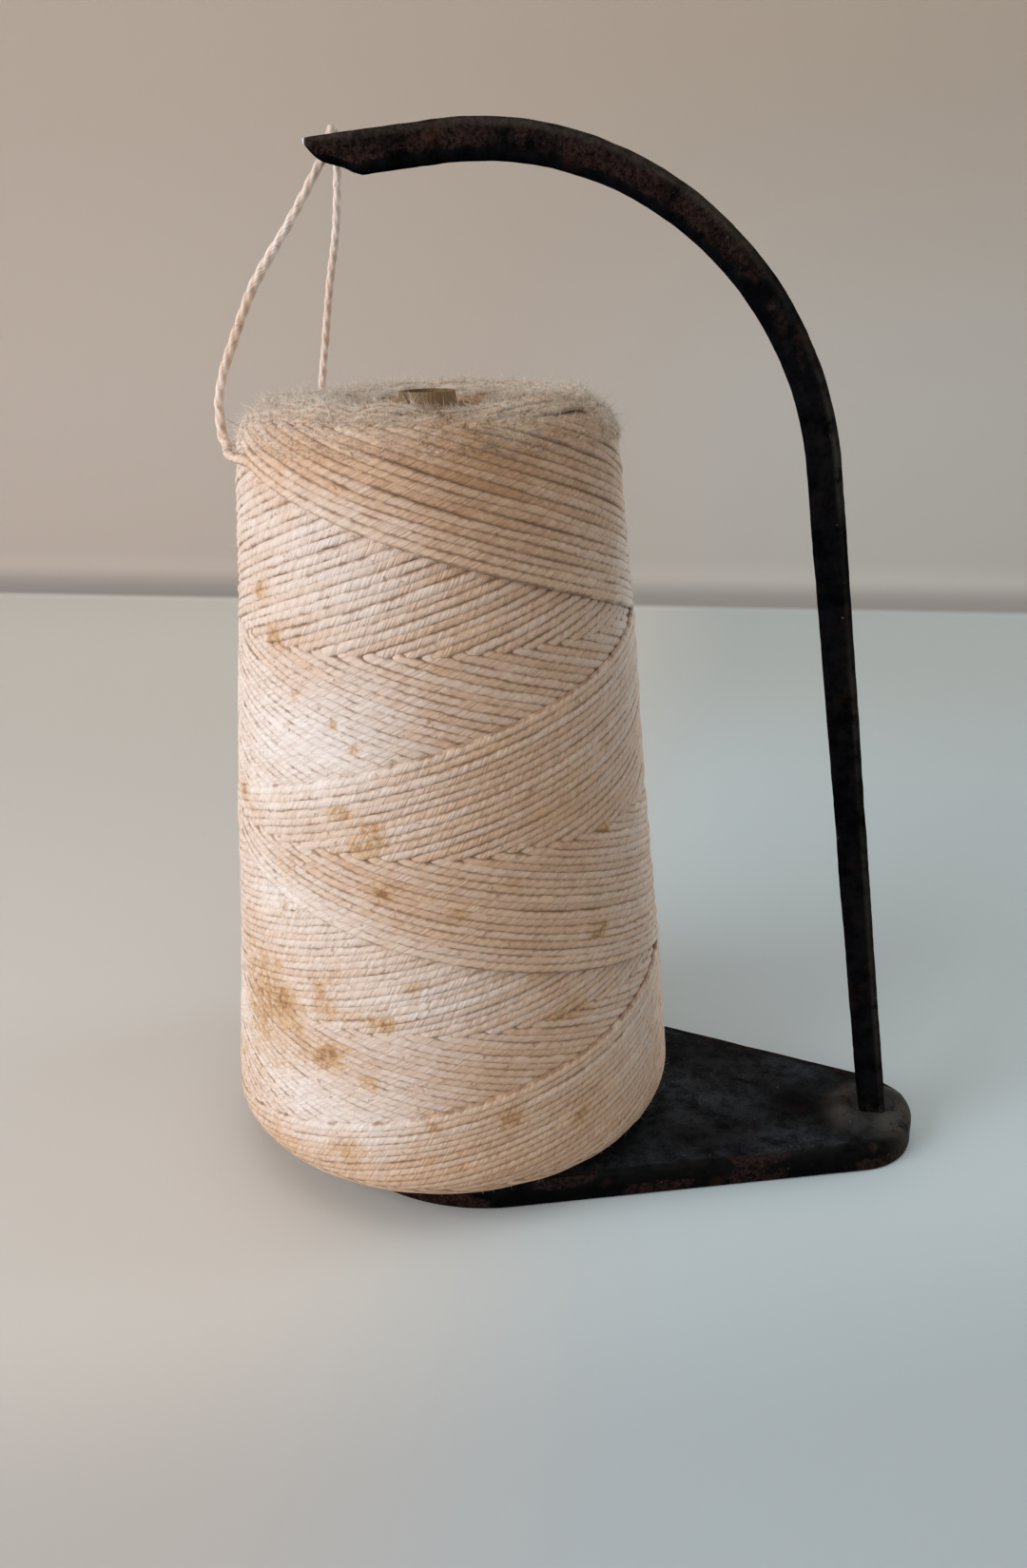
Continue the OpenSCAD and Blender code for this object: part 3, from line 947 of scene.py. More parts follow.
@dataclass
class Studio:
    """Pale floor that curves up into a plain wall, soft lamps and even surroundings."""

    wall_y: float = 690.0
    cove: float = 34.0
    half_width: float = 2600.0
    near_y: float = -1500.0
    wall_top: float = 2300.0
    warm_floor: tuple[Colour, Colour] = ((0.690, 0.655, 0.610), (0.745, 0.720, 0.660))
    cool_floor: tuple[Colour, Colour] = ((0.600, 0.690, 0.722), (0.560, 0.605, 0.590))
    near_shade: Colour = (0.80, 0.79, 0.80)
    joint_colour: Colour = (0.330, 0.300, 0.275)
    low_wall: tuple[Colour, Colour] = ((0.482, 0.402, 0.345), (0.492, 0.457, 0.417))
    high_wall: Colour = (0.435, 0.355, 0.290)
    surroundings: Colour = (1.0, 0.955, 0.89)
    surroundings_strength: float = 0.31
    lamp_target: tuple[float, float, float] = (0.0, 0.0, 0.12)
    lamps: tuple[Softbox, ...] = (
        Softbox("window", (-1.03, -0.84, 0.52), 1.2, 18.0, (0.955, 0.995, 1.05)),
        Softbox("ceiling", (0.10, -0.20, 1.40), 1.2, 3.6, (1.0, 0.98, 0.95)),
        Softbox("side_window", (1.25, 0.62, 0.42), 0.9, 10.0, (0.84, 0.98, 1.08)),
    )

    def build(self) -> None:
        """Add the floor, the lamps and the world."""
        turn = np.linspace(-math.pi / 2, 0.0, 14)
        curve = self.wall_y - self.cove + self.cove * np.cos(turn)
        y = np.concatenate([[self.near_y, 0.0, 400.0], curve, [self.wall_y]])
        z = np.concatenate([[0.0, 0.0, 0.0], self.cove + self.cove * np.sin(turn), [self.wall_top]])
        x = np.array([-self.half_width, self.half_width])
        points = np.stack([np.tile(x, len(y)), np.repeat(y, 2), np.repeat(z, 2)], axis=1)
        quads = grid_quads(len(y), 2, wrap=False)[:, ::-1]
        floor = build_piece("floor", points, quads, self.material(), closed=False)
        for lamp in self.lamps:
            lamp.hang(self.lamp_target)
        world = bpy.data.worlds.new("studio")
        world.use_nodes = True
        back = world.node_tree.nodes["Background"]
        back.inputs["Color"].default_value = (*self.surroundings, 1.0)
        back.inputs["Strength"].default_value = self.surroundings_strength
        bpy.context.scene.world = world
        bpy.context.scene.view_settings.view_transform = "Standard"

    def material(self) -> bpy.types.Material:
        """Pale matt paint with painted light and shade: painted cool light towards the right, painted
        shade near the camera and high up the wall, and a painted shadow where the floor meets the wall.

        Returns:
            The material.
        """
        material, g, shader = Workshop.start("studio_paint")
        place = g.node("ShaderNodeSeparateXYZ", {"Vector": g.place()}).outputs
        x, y, height = place["X"], place["Y"], place["Z"]
        # Painted light: the floor's colour goes from warm on the left to cool on the right, and changes
        # further back, as the light falls on it.
        far = g.between(y, 0.22, 0.55)
        warm, cool = g.mix(far, *self.warm_floor), g.mix(far, *self.cool_floor)
        floor = g.mix(g.between(x, -0.08, 0.05), warm, cool)
        shaded = g.mix(1.0, floor, self.near_shade, "MULTIPLY")
        floor = g.mix(g.between(g.math("MULTIPLY_ADD", x, -0.35, y), -0.05, -0.14), floor, shaded)
        # Painted shadow: a dark band along the foot of the wall.
        colour = g.mix(g.between(height, 0.0, 0.003), floor, self.joint_colour)
        # Painted light and shade on the wall: cooler to the right and darker high up.
        low_wall = g.mix(g.between(x, -0.20, 0.10), *self.low_wall)
        wall = g.mix(g.between(height, 0.12, 0.40), low_wall, self.high_wall)
        g.feed(shader.inputs["Base Color"], g.mix(g.between(height, 0.006, 0.022), colour, wall))
        shader.inputs["Roughness"].default_value = 0.55
        shader.inputs["Specular IOR Level"].default_value = 0.3
        return material


@dataclass
class CastBase:
    """Teardrop plate with a rounded upper edge, a raised boss and a round socket."""

    finish: IronFinish = IronFinish(
        "base_iron",
        rust=0.20,
        dust=1.0,
        paint=(0.0024, 0.0024, 0.0028),
        # Painted reflection: the bluish dust colour on the top stands in for the cool window's
        # reflection.
        dust_colour=(0.0500, 0.0560, 0.0640),
        specular=0.02,
    )
    thick: float = 8.5
    wide_r: float = 51.5
    wide_x: float = 11.0
    narrow_r: float = 19.5
    reach: float = 118.5
    edge_r: float = 3.2
    foot_x: float = 126.5
    boss_h: float = 2.2
    boss_r: float = 8.6
    boss_flank: float = 6.0
    socket_r: float = 6.54
    socket_depth: float = 0.15
    toe_r: float = 0.9
    well_r: float = 10.5
    well_depth: float = 3.6
    bore_r: float = 5.05
    tenon_r: float = 3.05
    head_r: float = 5.06
    head_h: float = 2.06
    round_steps: int = 9
    roughness: float = 0.16
    flange_clear: float = 33.0
    dust_fade: float = 1.6
    overcut: float = 5.0
    undercut: float = 1.0
    bore_steps: int = 72
    hole_steps: int = 48
    sharp_deg: float = 48.0

    def outline(self) -> tuple[Array, Array]:
        """Points and outward normals round the plate: two arcs joined by their outer tangents.

        Returns:
            The outline's points and normals, in the plane.
        """
        lean = math.acos((self.wide_r - self.narrow_r) / (self.reach - self.wide_x))
        centre, far_end = np.array([self.wide_x, 0.0]), np.array([self.reach, 0.0])
        near, far = np.linspace(-lean, lean, 110), np.linspace(lean, TAU - lean, 170)
        span = np.linspace(0.0, 1.0, 46)[1:-1, None]
        ends = []
        for side in (lean, -lean):
            n = np.array([math.cos(side), math.sin(side)])
            start, stop = far_end + self.narrow_r * n, centre + self.wide_r * n
            line = start + (stop - start) * (span if side > 0 else 1.0 - span)
            ends.append((line, np.repeat(n[None], len(span), axis=0)))
        arc_n = [np.stack([np.cos(a), np.sin(a)], axis=1) for a in (near, far)]
        arc_p = [far_end + self.narrow_r * arc_n[0], centre + self.wide_r * arc_n[1]]
        points = np.vstack([arc_p[0], ends[0][0], arc_p[1], ends[1][0]])
        return points, np.vstack([arc_n[0], ends[0][1], arc_n[1], ends[1][1]])

    def crown(self, place: Array, inset: Array) -> Array:
        """Height of the upper side: plate and boss, each falling in a quarter round at the outline.

        Args:
            place: places in the plane.
            inset: their distances in from the outline.

        Returns:
            The heights.
        """
        short = np.clip(self.edge_r - inset, 0.0, self.edge_r)
        fall = self.edge_r - np.sqrt(self.edge_r**2 - short**2)
        away = np.linalg.norm(place - (self.foot_x, 0.0), axis=-1)
        boss = self.thick + self.boss_h * (1.0 - ease((away - self.boss_r) / self.boss_flank))
        return np.maximum(self.thick - fall, np.minimum(self.thick + self.boss_h - fall, boss))

    def inset(self, place: Array) -> Array:
        """Distance in from the outline: that of a capsule with ends of two sizes.

        Args:
            place: places in the plane.

        Returns:
            The distances.
        """
        span = self.reach - self.wide_x
        slope = (self.wide_r - self.narrow_r) / span
        run = math.sqrt(1.0 - slope**2)
        x, y = place[..., 0] - self.wide_x, np.abs(place[..., 1])
        along = x * run - y * slope
        wide = self.wide_r - np.hypot(x, y)
        narrow = self.narrow_r - np.hypot(x - span, y)
        flank = self.wide_r - (x * slope + y * run)
        return np.where(along < 0.0, wide, np.where(along > span * run, narrow, flank))

    def surface(self) -> Array:
        """Closed skin in rows round the plate, from the socket's floor to the underside's middle.

        Returns:
            The points, row by row.
        """
        rim, normal = self.outline()
        cols = len(rim)
        inner = rim - normal * (self.edge_r + 0.5)
        bearing = unit(inner - (self.foot_x, 0.0))
        lip = self.socket_r * bearing + (self.foot_x, 0.0)
        floor_z = self.thick + self.boss_h - self.socket_depth
        rows = []
        for share, z in ((0.0, floor_z), (0.5, floor_z), (0.96, floor_z), (1.0, floor_z + 0.03)):
            flat = lip * share + (1.0 - share) * np.array([self.foot_x, 0.0])
            rows.append(np.column_stack([flat, np.full(cols, z)]))
        top = self.thick + self.boss_h
        for out, z in ((0.06, top - 0.08), (0.16, top - 0.03), (0.4, top)):
            rows.append(np.column_stack([lip + bearing * out, np.full(cols, z)]))
        start = lip + bearing * 0.4
        for t in np.linspace(0.0, 1.0, 64)[1:] ** 1.7:
            flat = start + (inner - start) * t
            rows.append(np.column_stack([flat, self.crown(flat, self.inset(flat))]))
        for angle in np.linspace(0.0, math.pi / 2, self.round_steps):
            inset = np.full(cols, self.edge_r * (1.0 - math.sin(angle)))
            flat = rim - normal * inset[:, None]
            rows.append(np.column_stack([flat, self.crown(flat, inset)]))
        shoulder = rows[-1][:, 2]
        for share in (0.25, 0.5, 0.75, 1.0):
            rows.append(np.column_stack([rim, shoulder + (self.toe_r - shoulder) * share]))
        for angle in np.linspace(0.0, math.pi / 2, 4)[1:]:
            flat = rim - normal * self.toe_r * (1.0 - math.cos(angle))
            rows.append(np.column_stack([flat, np.full(cols, self.toe_r * (1.0 - math.sin(angle)))]))
        last = rows[-1][:, :2]
        for share in (0.9, 0.75, 0.55, 0.35, 0.2, 0.0):
            rows.append(np.column_stack([last * share, np.zeros(cols)]))
        return np.array(rows)

    def roughened(self, points: Array) -> Array:
        """Points raised and sunk by the casting's lumps, except round the socket and under the flange.

        Args:
            points: the smooth skin.

        Returns:
            The rough skin.
        """
        away = np.hypot(points[:, 0] - self.foot_x, points[:, 1])
        clear = ease((np.hypot(*points[:, :2].T) - self.flange_clear) / 4.0)
        free = ease(points[:, 2] / 2.0) * ease((away - self.socket_r) / 1.5) * clear
        lump = lattice_noise(points, 9.0, 3) * 0.6 + lattice_noise(points, 3.2, 4) * 0.4
        bent = points.copy()
        bent[:, 2] += self.roughness * lump * free
        return bent

    def ageing(self, points: Array) -> dict[str, Array]:
        """Wear on the boss with a painted highlight towards the front right, rust low down, by the foot
        and along the brink, and dust on top that also paints a bluish reflection.

        Args:
            points: the smooth skin.

        Returns:
            The named values at each point.
        """
        inset = self.inset(points[:, :2])
        away = np.hypot(points[:, 0] - self.foot_x, points[:, 1])
        boss = 1.0 - ease((away - self.boss_r + 1.0) / 10.0)
        brink = ease((self.edge_r * 0.95 - inset) / 2.0) * ease((points[:, 2] - 3.0) / 3.5)
        patchy = np.clip(0.8 + 2.4 * lattice_noise(points, 15.0, 11), 0.0, 1.8)
        low = ease((5.8 - points[:, 2]) / 3.0) * patchy
        # Painted highlight: the wear on the boss is stronger towards the front right.
        toward_highlight = (points[:, 0] - self.foot_x - 0.6 * points[:, 1]) / (away + 1.0)
        rubbed = (0.90 + 0.20 * toward_highlight) * (0.85 + 0.6 * lattice_noise(points, 5.0, 12))
        leftward = np.clip((self.foot_x - points[:, 0] + 0.5 * points[:, 1]) / (away + 1.0), 0.0, 1.0)
        near_foot = 1.6 * (1.0 - ease((away - 7.0) / 6.0)) * leftward
        flecked = brink * np.clip(2.0 * lattice_noise(points, 9.0, 13), 0.0, 1.1)
        clumps = np.clip(0.66 + 1.1 * lattice_noise(points, 21.0, 9), 0.0, 1.0)
        # Dust on the upper side, which with its bluish colour also paints a reflection there.
        upper = ease((points[:, 2] - self.thick + self.dust_fade) / self.dust_fade)
        return {
            "wear": np.clip(rubbed * boss + 0.05 * brink, 0.0, 1.0),
            "rust": low + near_foot + flecked,
            "settle": (1.0 - 0.85 * brink) * clumps * upper,
        }

    def build(self, shop: Workshop) -> bpy.types.Object:
        """Build, roughen, bore and dress the plate.

        Args:
            shop: shared node groups.

        Returns:
            The plate.
        """
        rows = self.surface()
        points = rows.reshape(-1, 3)
        marks = self.ageing(points)
        quads = grid_quads(*rows.shape[:2])
        material = self.finish.material(shop)
        plate = build_piece(
            "cast_base", self.roughened(points), quads, material, marks=marks, sharp_deg=self.sharp_deg
        )
        low, top = -self.undercut, self.thick + self.overcut
        self.bore(plate, 0.0, ((self.well_r, self.well_depth), (self.bore_r, top)))
        cone = ((self.head_r + self.undercut, low), (self.tenon_r, self.head_h), (self.tenon_r, top))
        tool, tool_quads = lathe(np.array([(0.0, low), *cone, (0.0, top)]), self.hole_steps)
        cut_away(plate, tool + (self.foot_x, 0.0, 0.0), tool_quads, self.sharp_deg)
        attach(plate, "stand")
        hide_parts("base_plate")
        return plate

    def bore(self, plate: bpy.types.Object, x: float, steps: Sequence[tuple[float, float]]) -> None:
        """Cut a stepped round hole up from the underside.

        Args:
            plate: the piece to cut.
            x: the hole's place.
            steps: radius and top of each step, widest first.
        """
        rows: list[tuple[float, float]] = [(0.0, -self.undercut), (steps[0][0], -self.undercut)]
        for k, (radius, top) in enumerate(steps):
            rows.append((radius, top))
            rows.append((steps[k + 1][0] if k + 1 < len(steps) else 0.0, top))
        tool, quads = lathe(np.array(rows), self.bore_steps)
        cut_away(plate, tool + (x, 0.0, 0.0), quads, self.sharp_deg)


@dataclass
class IronArm:
    """Tapered bar with bevelled edges: leaning upright, arch and drooping end with an eye and a bevel."""

    finish: IronFinish = IronFinish("arm_iron", rust=0.20, dust=0.10, specular=0.0, bump_mm=0.30)
    foot: tuple[float, float] = (126.5, 8.7)
    lean_deg: float = 7.9
    bend_centre: tuple[float, float] = (12.668, 183.8)
    bend_r: float = 88.7
    droop_deg: float = 5.0
    tip_x: float = -27.4
    width_foot: float = 7.4
    width_tip: float = 9.2
    depth: float = 9.5
    edge: float = 1.0
    nose: tuple[tuple[float, float], ...] = (
        (-15.4, 265.78), (-18.0, 267.1), (-21.8, 268.15),
        (-24.0, 269.25), (-26.1, 271.2), (-27.4, 272.6),
    )
    tip_round: float = 0.24
    eye_x: float = -22.0
    eye_d: float = 6.0
    eye_low: float = 255.0
    eye_high: float = 290.0
    tenon_r: float = 3.0
    head_r: float = 5.0
    head_h: float = 2.0
    spacing: float = 1.5
    round_steps: int = 48
    sharp_deg: float = 27.0
    tenon_sharp_deg: float = 30.0

    def centre_line(self) -> tuple[Array, Array]:
        """Straight upright, arc and straight end, as [x, z], with the outward direction at each point.

        Returns:
            The points and the outward directions in the arch's plane.
        """
        lean, droop = math.radians(self.lean_deg), math.radians(self.droop_deg)
        centre = np.array(self.bend_centre)
        sweep = math.pi / 2 + droop - lean
        turn = np.linspace(lean, math.pi / 2 + droop, round(self.bend_r * sweep / self.spacing))
        arc_out = np.stack([np.cos(turn), np.sin(turn)], axis=1)
        arc = centre + self.bend_r * arc_out
        rise = np.linspace(0.0, 1.0, 124)[:-1, None]
        upright = np.array(self.foot) + (arc[0] - np.array(self.foot)) * rise
        corner = self.nose[0][0]
        straight = np.linspace(arc[-1, 0], corner, 16)[1:]
        x = np.concatenate([straight, np.linspace(corner, self.tip_x, 24)[1:]])
        end = np.stack([x, arc[-1, 1] - (arc[-1, 0] - x) * math.tan(droop)], axis=1)
        fall = ((arc[-1, 0] - x) / (arc[-1, 0] - self.tip_x))[:, None]
        blend = ease(rise * 18.0)
        up_out = unit(np.array([[1.0, 0.0]]) * (1.0 - blend) + arc_out[:1] * blend)
        tip = ease((fall - 0.55) / 0.45)
        end_out = unit(arc_out[-1:] * (1.0 - tip) + np.array([[0.0, 1.0]]) * tip)
        return np.vstack([upright, arc, end]), np.vstack([up_out, arc_out, end_out])

    def section(self) -> Array:
        """Bevelled rectangle as four columns: across and deep, each in half-widths and in edge widths.

        Returns:
            One row for each point round the bar.
        """
        side = np.array([-1.0, -0.93, -0.6, -0.2, 0.2, 0.6, 0.93, 1.0])
        one, none = np.ones_like(side), np.zeros_like(side)
        cut = np.array([0.33, 0.67])
        swell = 0.10 * np.sin(math.pi * cut)
        whole = np.ones_like(cut)
        right = np.stack([one, none, side, -side], axis=1)
        upper = np.stack([-side, side, one, none], axis=1)
        corner = np.stack([whole, swell - cut, whole, swell - (1.0 - cut)], axis=1)
        corner_2 = np.stack([-whole, (1.0 - cut) - swell, whole, swell - cut], axis=1)
        half = np.vstack([right, corner, upper, corner_2])
        return np.vstack([half, -half])

    def under(self, x: Array) -> Array:
        """Height of the curved bevel under the tip, behind a crisp corner."""
        curve = smooth_route([(x, 0.0, z) for x, z in self.nose], 8)[::-1]
        return np.interp(x, curve[:, 0], curve[:, 2])

    def swept(self) -> tuple[Array, Array, Array]:
        """Carry the section along the line, drawn in by the bevel at the nose and blunted at the tip.

        Returns:
            The points in rings, the line, and the length along it.
        """
        line, out = self.centre_line()
        reach = np.concatenate([[0.0], np.cumsum(np.linalg.norm(np.diff(line, axis=0), axis=1))])
        half = (self.width_foot + (self.width_tip - self.width_foot) * reach / reach[-1]) / 2
        section = self.section()
        across = section[:, 0] * half[:, None] + section[:, 1] * self.edge
        deep = np.broadcast_to(section[:, 2] * self.depth / 2 + section[:, 3] * self.edge, across.shape)
        low = (self.under(line[:, 0]) - line[:, 1]) / out[:, 1].clip(0.3)
        nosed = (line[:, 0] < self.nose[0][0]) & (line[:, 1] > self.bend_centre[1])
        low = np.where(nosed, np.maximum(low, -half), -half)
        across = low[:, None] + (across + half[:, None]) * ((half - low) / (2 * half))[:, None]
        blunt = ease((reach - reach[-1] + 3.0) / 3.0)
        deep = deep * (1.0 - self.tip_round * blunt**2)[:, None]
        x = line[:, 0, None] + across * out[:, 0, None]
        z = line[:, 1, None] + across * out[:, 1, None]
        return np.stack([x, deep, z], axis=-1), line, reach

    @staticmethod
    def hammered(points: Array, line: Array, reach: Array) -> Array:
        """Points pushed to and from the line by forging marks, less at the foot and the tip.

        Args:
            points: the smooth bar, in rings.
            line: the bar's middle line.
            reach: length along it.

        Returns:
            The forged bar, in rings.
        """
        near_tip = ease((reach - reach[-1] + 12.0) / 10.0)
        free = (ease((reach - 3.0) / 8.0) * (1.0 - 0.6 * near_tip))[:, None, None]
        middle = np.stack([line[:, 0], np.zeros(len(line)), line[:, 1]], axis=1)[:, None, :]
        push = unit(points - middle)
        hammer = lattice_noise(points, 16.0, 21) * 0.16 + lattice_noise(points, 4.5, 22) * 0.07
        hammer = hammer + lattice_noise(points, 2.0, 23) * 0.10
        return points + push * hammer[..., None] * free

    def ageing(self, points: Array, reach: Array) -> dict[str, Array]:
        """Wear on the edges and the tip, rust on the arch, nose and foot, and dust on the upper side.

        Args:
            points: the smooth bar, in rings.
            reach: length along the bar at each ring.

        Returns:
            The named values at each point.
        """
        section = self.section()
        corner = np.abs(section[:, 0]) * np.abs(section[:, 2]) > 0.9
        outer = ease((section[:, 0] + 0.95) / 0.5)[None, :]
        patchy = 0.5 + 0.5 * lattice_noise(points, 22.0, 5)
        wear = np.where(corner, 0.55, 0.03)[None, :] * outer * patchy
        wear = wear + 1.6 * ease((reach - reach[-1] + 1.1) / 0.9)[:, None]
        arch = ease((reach - 190.0) / 60.0)[:, None]
        nose = ease((reach - reach[-1] + 46.0) / 40.0)[:, None]
        foot = (1.0 - ease(reach / 14.0))[:, None]
        rust = (0.72 * arch + 0.35 * nose) * outer + 0.5 * foot
        settle = ease((section[:, 0] - 0.4) / 0.4)[None, :] * arch
        return {"wear": np.clip(wear, 0.0, 1.6), "rust": rust, "settle": settle}

    def tenon(self, material: bpy.types.Material) -> bpy.types.Object:
        """Round tenon under the bar, with its spread head.

        Args:
            material: the bar's material.

        Returns:
            The tenon.
        """
        x, top = self.foot
        head = [(0.0, 0.0), (self.head_r, 0.0), (self.tenon_r, self.head_h)]
        points, quads = lathe(np.array([*head, (self.tenon_r, top), (0.0, top)]), self.round_steps)
        points = points + (x, 0.0, 0.0)
        return build_piece("arm_tenon", points, quads, material, sharp_deg=self.tenon_sharp_deg)

    def build(self, shop: Workshop) -> bpy.types.Object:
        """Sweep, hammer, pierce and dress the bar, and add its tenon.

        Args:
            shop: shared node groups.

        Returns:
            The bar.
        """
        plain, line, reach = self.swept()
        skin = self.hammered(plain, line, reach)
        caps = [np.broadcast_to(ring.mean(axis=0), ring.shape)[None] for ring in (skin[0], skin[-1])]
        plain, skin = (np.concatenate([caps[0], rings, caps[1]]) for rings in (plain, skin))
        marks = self.ageing(plain, np.concatenate([reach[:1], reach, reach[-1:]]))
        material = self.finish.material(shop)
        quads = grid_quads(*skin.shape[:2])
        bar = build_piece(
            "iron_arm", skin.reshape(-1, 3), quads, material, marks=marks, sharp_deg=self.sharp_deg
        )
        low, high, radius = self.eye_low, self.eye_high, self.eye_d / 2
        hole = np.array([(0.0, low), (radius, low), (radius, high), (0.0, high)])
        tool, tool_quads = lathe(hole, self.round_steps)
        cut_away(bar, tool + (self.eye_x, 0.0, 0.0), tool_quads, self.sharp_deg)
        plug = self.tenon(material)
        for piece in (bar, plug):
            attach(piece, "stand")
        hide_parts("arm")
        return bar


@dataclass
class SpindleSet:
    """Turned spindle with its peg, flange and journal, and the washer that holds it."""

    finish: TurnedFinish = TurnedFinish()
    spread_low: float = 0.4
    spread_r: float = 6.6
    journal_low: float = 1.8
    journal_r: float = 5.0
    flange_z: float = 8.5
    flange_r: float = 32.0
    floor_z: float = 10.0
    peg_low_r: float = 23.1
    peg_top_r: float = 19.856
    peg_top: float = 48.0
    peg_round: float = 4.0
    washer_r: float = 10.0
    washer_bore: float = 5.05
    washer_t: float = 1.6
    washer_edge: float = 0.2
    flange_edge: float = 0.25
    spread_edge: float = 0.84
    spindle_steps: int = 128
    washer_steps: int = 96
    sharp_deg: float = 32.0

    def build(self, shop: Workshop) -> None:
        """Turn and dress both pieces.

        Args:
            shop: shared node groups.
        """
        material = self.finish.material(shop)
        turn = np.linspace(0.0, math.pi / 2, 9)
        crown_r = self.peg_top_r - self.peg_round * (1 - np.cos(turn))
        crown_z = self.peg_top - self.peg_round * (1 - np.sin(turn))
        foot, edge, spread = self.spread_low, self.flange_edge, self.spread_edge
        profile = np.vstack([
            [(0.0, foot), (self.spread_r - spread, foot), (self.spread_r, foot + spread)],
            [(self.spread_r, self.journal_low), (self.journal_r, self.journal_low)],
            [(self.journal_r, self.flange_z)],
            [(self.flange_r - edge, self.flange_z), (self.flange_r, self.flange_z + edge)],
            [(self.flange_r, self.floor_z - edge), (self.flange_r - edge, self.floor_z)],
            [(self.peg_low_r, self.floor_z)],
            np.stack([crown_r, crown_z], axis=1),
            [(0.0, self.peg_top)],
        ])
        points, quads = lathe(profile, self.spindle_steps)
        spindle = build_piece("turned_spindle", points, quads, material, sharp_deg=self.sharp_deg)
        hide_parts("spindle")
        low, high = self.journal_low, self.journal_low + self.washer_t
        bore, wide, edge = self.washer_bore, self.washer_r, self.washer_edge
        ring = np.array([
            (bore, low), (wide - edge, low), (wide, low + edge), (wide, high - edge),
            (wide - edge, high), (bore, high), (bore, low),
        ])
        points, quads = lathe(ring, self.washer_steps)
        washer = build_piece("pressed_washer", points, quads, material, sharp_deg=self.sharp_deg)
        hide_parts("spindle_washer")
        for piece in (spindle, washer):
            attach(piece, "spindle")


@dataclass
class PaperCore:
    """Tapered tube of rolled brown paper."""

    finish: PaperFinish = PaperFinish()
    floor_z: float = 10.0
    tall: float = 205.0
    low_r: float = 25.0
    top_r: float = 7.5
    wall: float = 1.5
    lip: float = 0.3
    dust: float = 0.12
    dust_depth: float = 2.0
    rows: int = 42
    steps: int = 96
    sharp_deg: float = 40.0

    def build(self, shop: Workshop) -> bpy.types.Object:
        """Roll and dress the tube.

        Args:
            shop: shared node groups.

        Returns:
            The tube.
        """
        share = np.linspace(0.0, 1.0, self.rows)
        outer = self.low_r + (self.top_r - self.low_r) * share
        z = self.floor_z + self.tall * share
        profile = np.vstack([
            np.stack([outer - self.lip * (share == 1.0), z], axis=1),
            [(self.top_r - self.wall / 2, self.floor_z + self.tall)],
            np.stack([outer - self.wall, z], axis=1)[::-1],
            [(self.low_r - self.wall / 2, self.floor_z)],
            [(self.low_r, self.floor_z)],
        ])
        points, quads = lathe(profile, self.steps)
        below_top = self.floor_z + self.tall - self.dust_depth
        marks = {"settle": self.dust * ease((points[:, 2] - below_top) / self.dust_depth)}
        lay = grid_lay(profile[:, 1], self.steps)
        material = self.finish.material(shop)
        tube = build_piece(
            "paper_tube", points, quads, material, lay=lay, marks=marks, sharp_deg=self.sharp_deg
        )
        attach(tube, "cone")
        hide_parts("paper_core")
        return tube


class Course(Enum):
    """Which way a strand of the winding climbs, seen from outside."""

    FALLING = "falling"
    RISING = "rising"


@dataclass(frozen=True)
class Stain:
    """Soft mark on the cone: bearing in degrees, height, spread along and up, and strength.

    A blot's strength is its rust. A wash's is its soil, which is less where it is negative. A dent's
    strength is its depth in millimetres.
    """

    bearing: float
    height: float
    along: float
    up: float
    strength: float


BLOTS: tuple[Stain, ...] = tuple(Stain(*row) for row in (
    (-133, 161, 3, 2.6, 0.8), (-59, 199, 9, 3, 0.62), (-126, 150, 3, 2.6, 0.85),
    (-118, 137, 3, 2.4, 0.55), (-105, 132, 0.8, 0.8, 1.2), (-99, 126, 2, 1.6, 0.55),
    (-103, 109, 3.5, 1.8, 0.75), (-94, 106, 2.8, 2.2, 0.8), (-97, 101, 5, 2, 0.7),
    (-146, 106, 4, 2.6, 0.7), (-136, 103, 5, 2.4, 0.55), (-126, 62, 2.2, 1.8, 0.6),
    (-111, 60, 2.6, 4, 0.62), (-125, 52, 5, 3.5, 0.8), (-105, 54, 6, 2, 0.62), (-93, 54, 3.6, 1.8, 0.8),
    (-110, 40, 4.2, 2.6, 0.78), (-98, 36, 2.4, 1.8, 0.72), (-128, 40, 12, 10, 0.36),
    (-103, 15, 5, 4, 0.62), (-124, 9, 9, 5, 0.5), (-82, 26, 2.6, 2.2, 0.62), (-84, 16, 3, 2.6, 0.62),
    (-64, 26, 3.6, 3.2, 0.84), (-45, 20, 2.6, 2.6, 1.00), (-51, 51, 4, 1.5, 0.9),
    (-43, 51, 3.5, 1.4, 0.85), (-56, 64, 2.2, 1.6, 0.6), (-38, 114, 3.4, 2.4, 0.62),
    (-31, 98, 3, 1.4, 1.00), (-50, 107, 5, 2.4, 0.66), (-60, 126, 4, 2, 0.55), (-84, 190, 20, 5, 0.2),
    (-100, 194, 14, 4, 0.18), (-35, 194, 16, 6, 0.24), (-78, 178, 12, 3, 0.2), (-59, 90, 5, 2.2, 0.5),
    (-65, 98, 4, 1.6, 0.55), (-32, 75, 6, 4, 0.36), (-122, 78, 5, 4, 0.36), (-142, 58, 9, 9, 0.42),
    (-150, 20, 14, 9, 0.42), (-92, 90, 3, 1.6, 1.1), (-74, 85, 2.2, 1.2, 0.7), (-81, 89, 1.6, 1.2, 0.7),
    (-36, 71, 2.2, 1.6, 1.15), (-122, 92, 3, 3, 0.5), (-106, 66, 2, 3, 0.5), (-87, 64, 3, 2, 0.55),
    (-121, 67, 2.2, 2, 0.4), (-132, 60, 3, 3, 0.35), (-136, 44, 6, 8, 0.36), (-106, 44, 3.5, 1.8, 0.55),
    (-118, 44, 3, 2, 0.35), (60, 120, 8, 6, 0.5), (95, 60, 6, 5, 0.6), (120, 170, 9, 4, 0.5),
    (150, 40, 9, 7, 0.5), (20, 30, 7, 5, 0.5), (75, 185, 12, 4, 0.4),
))


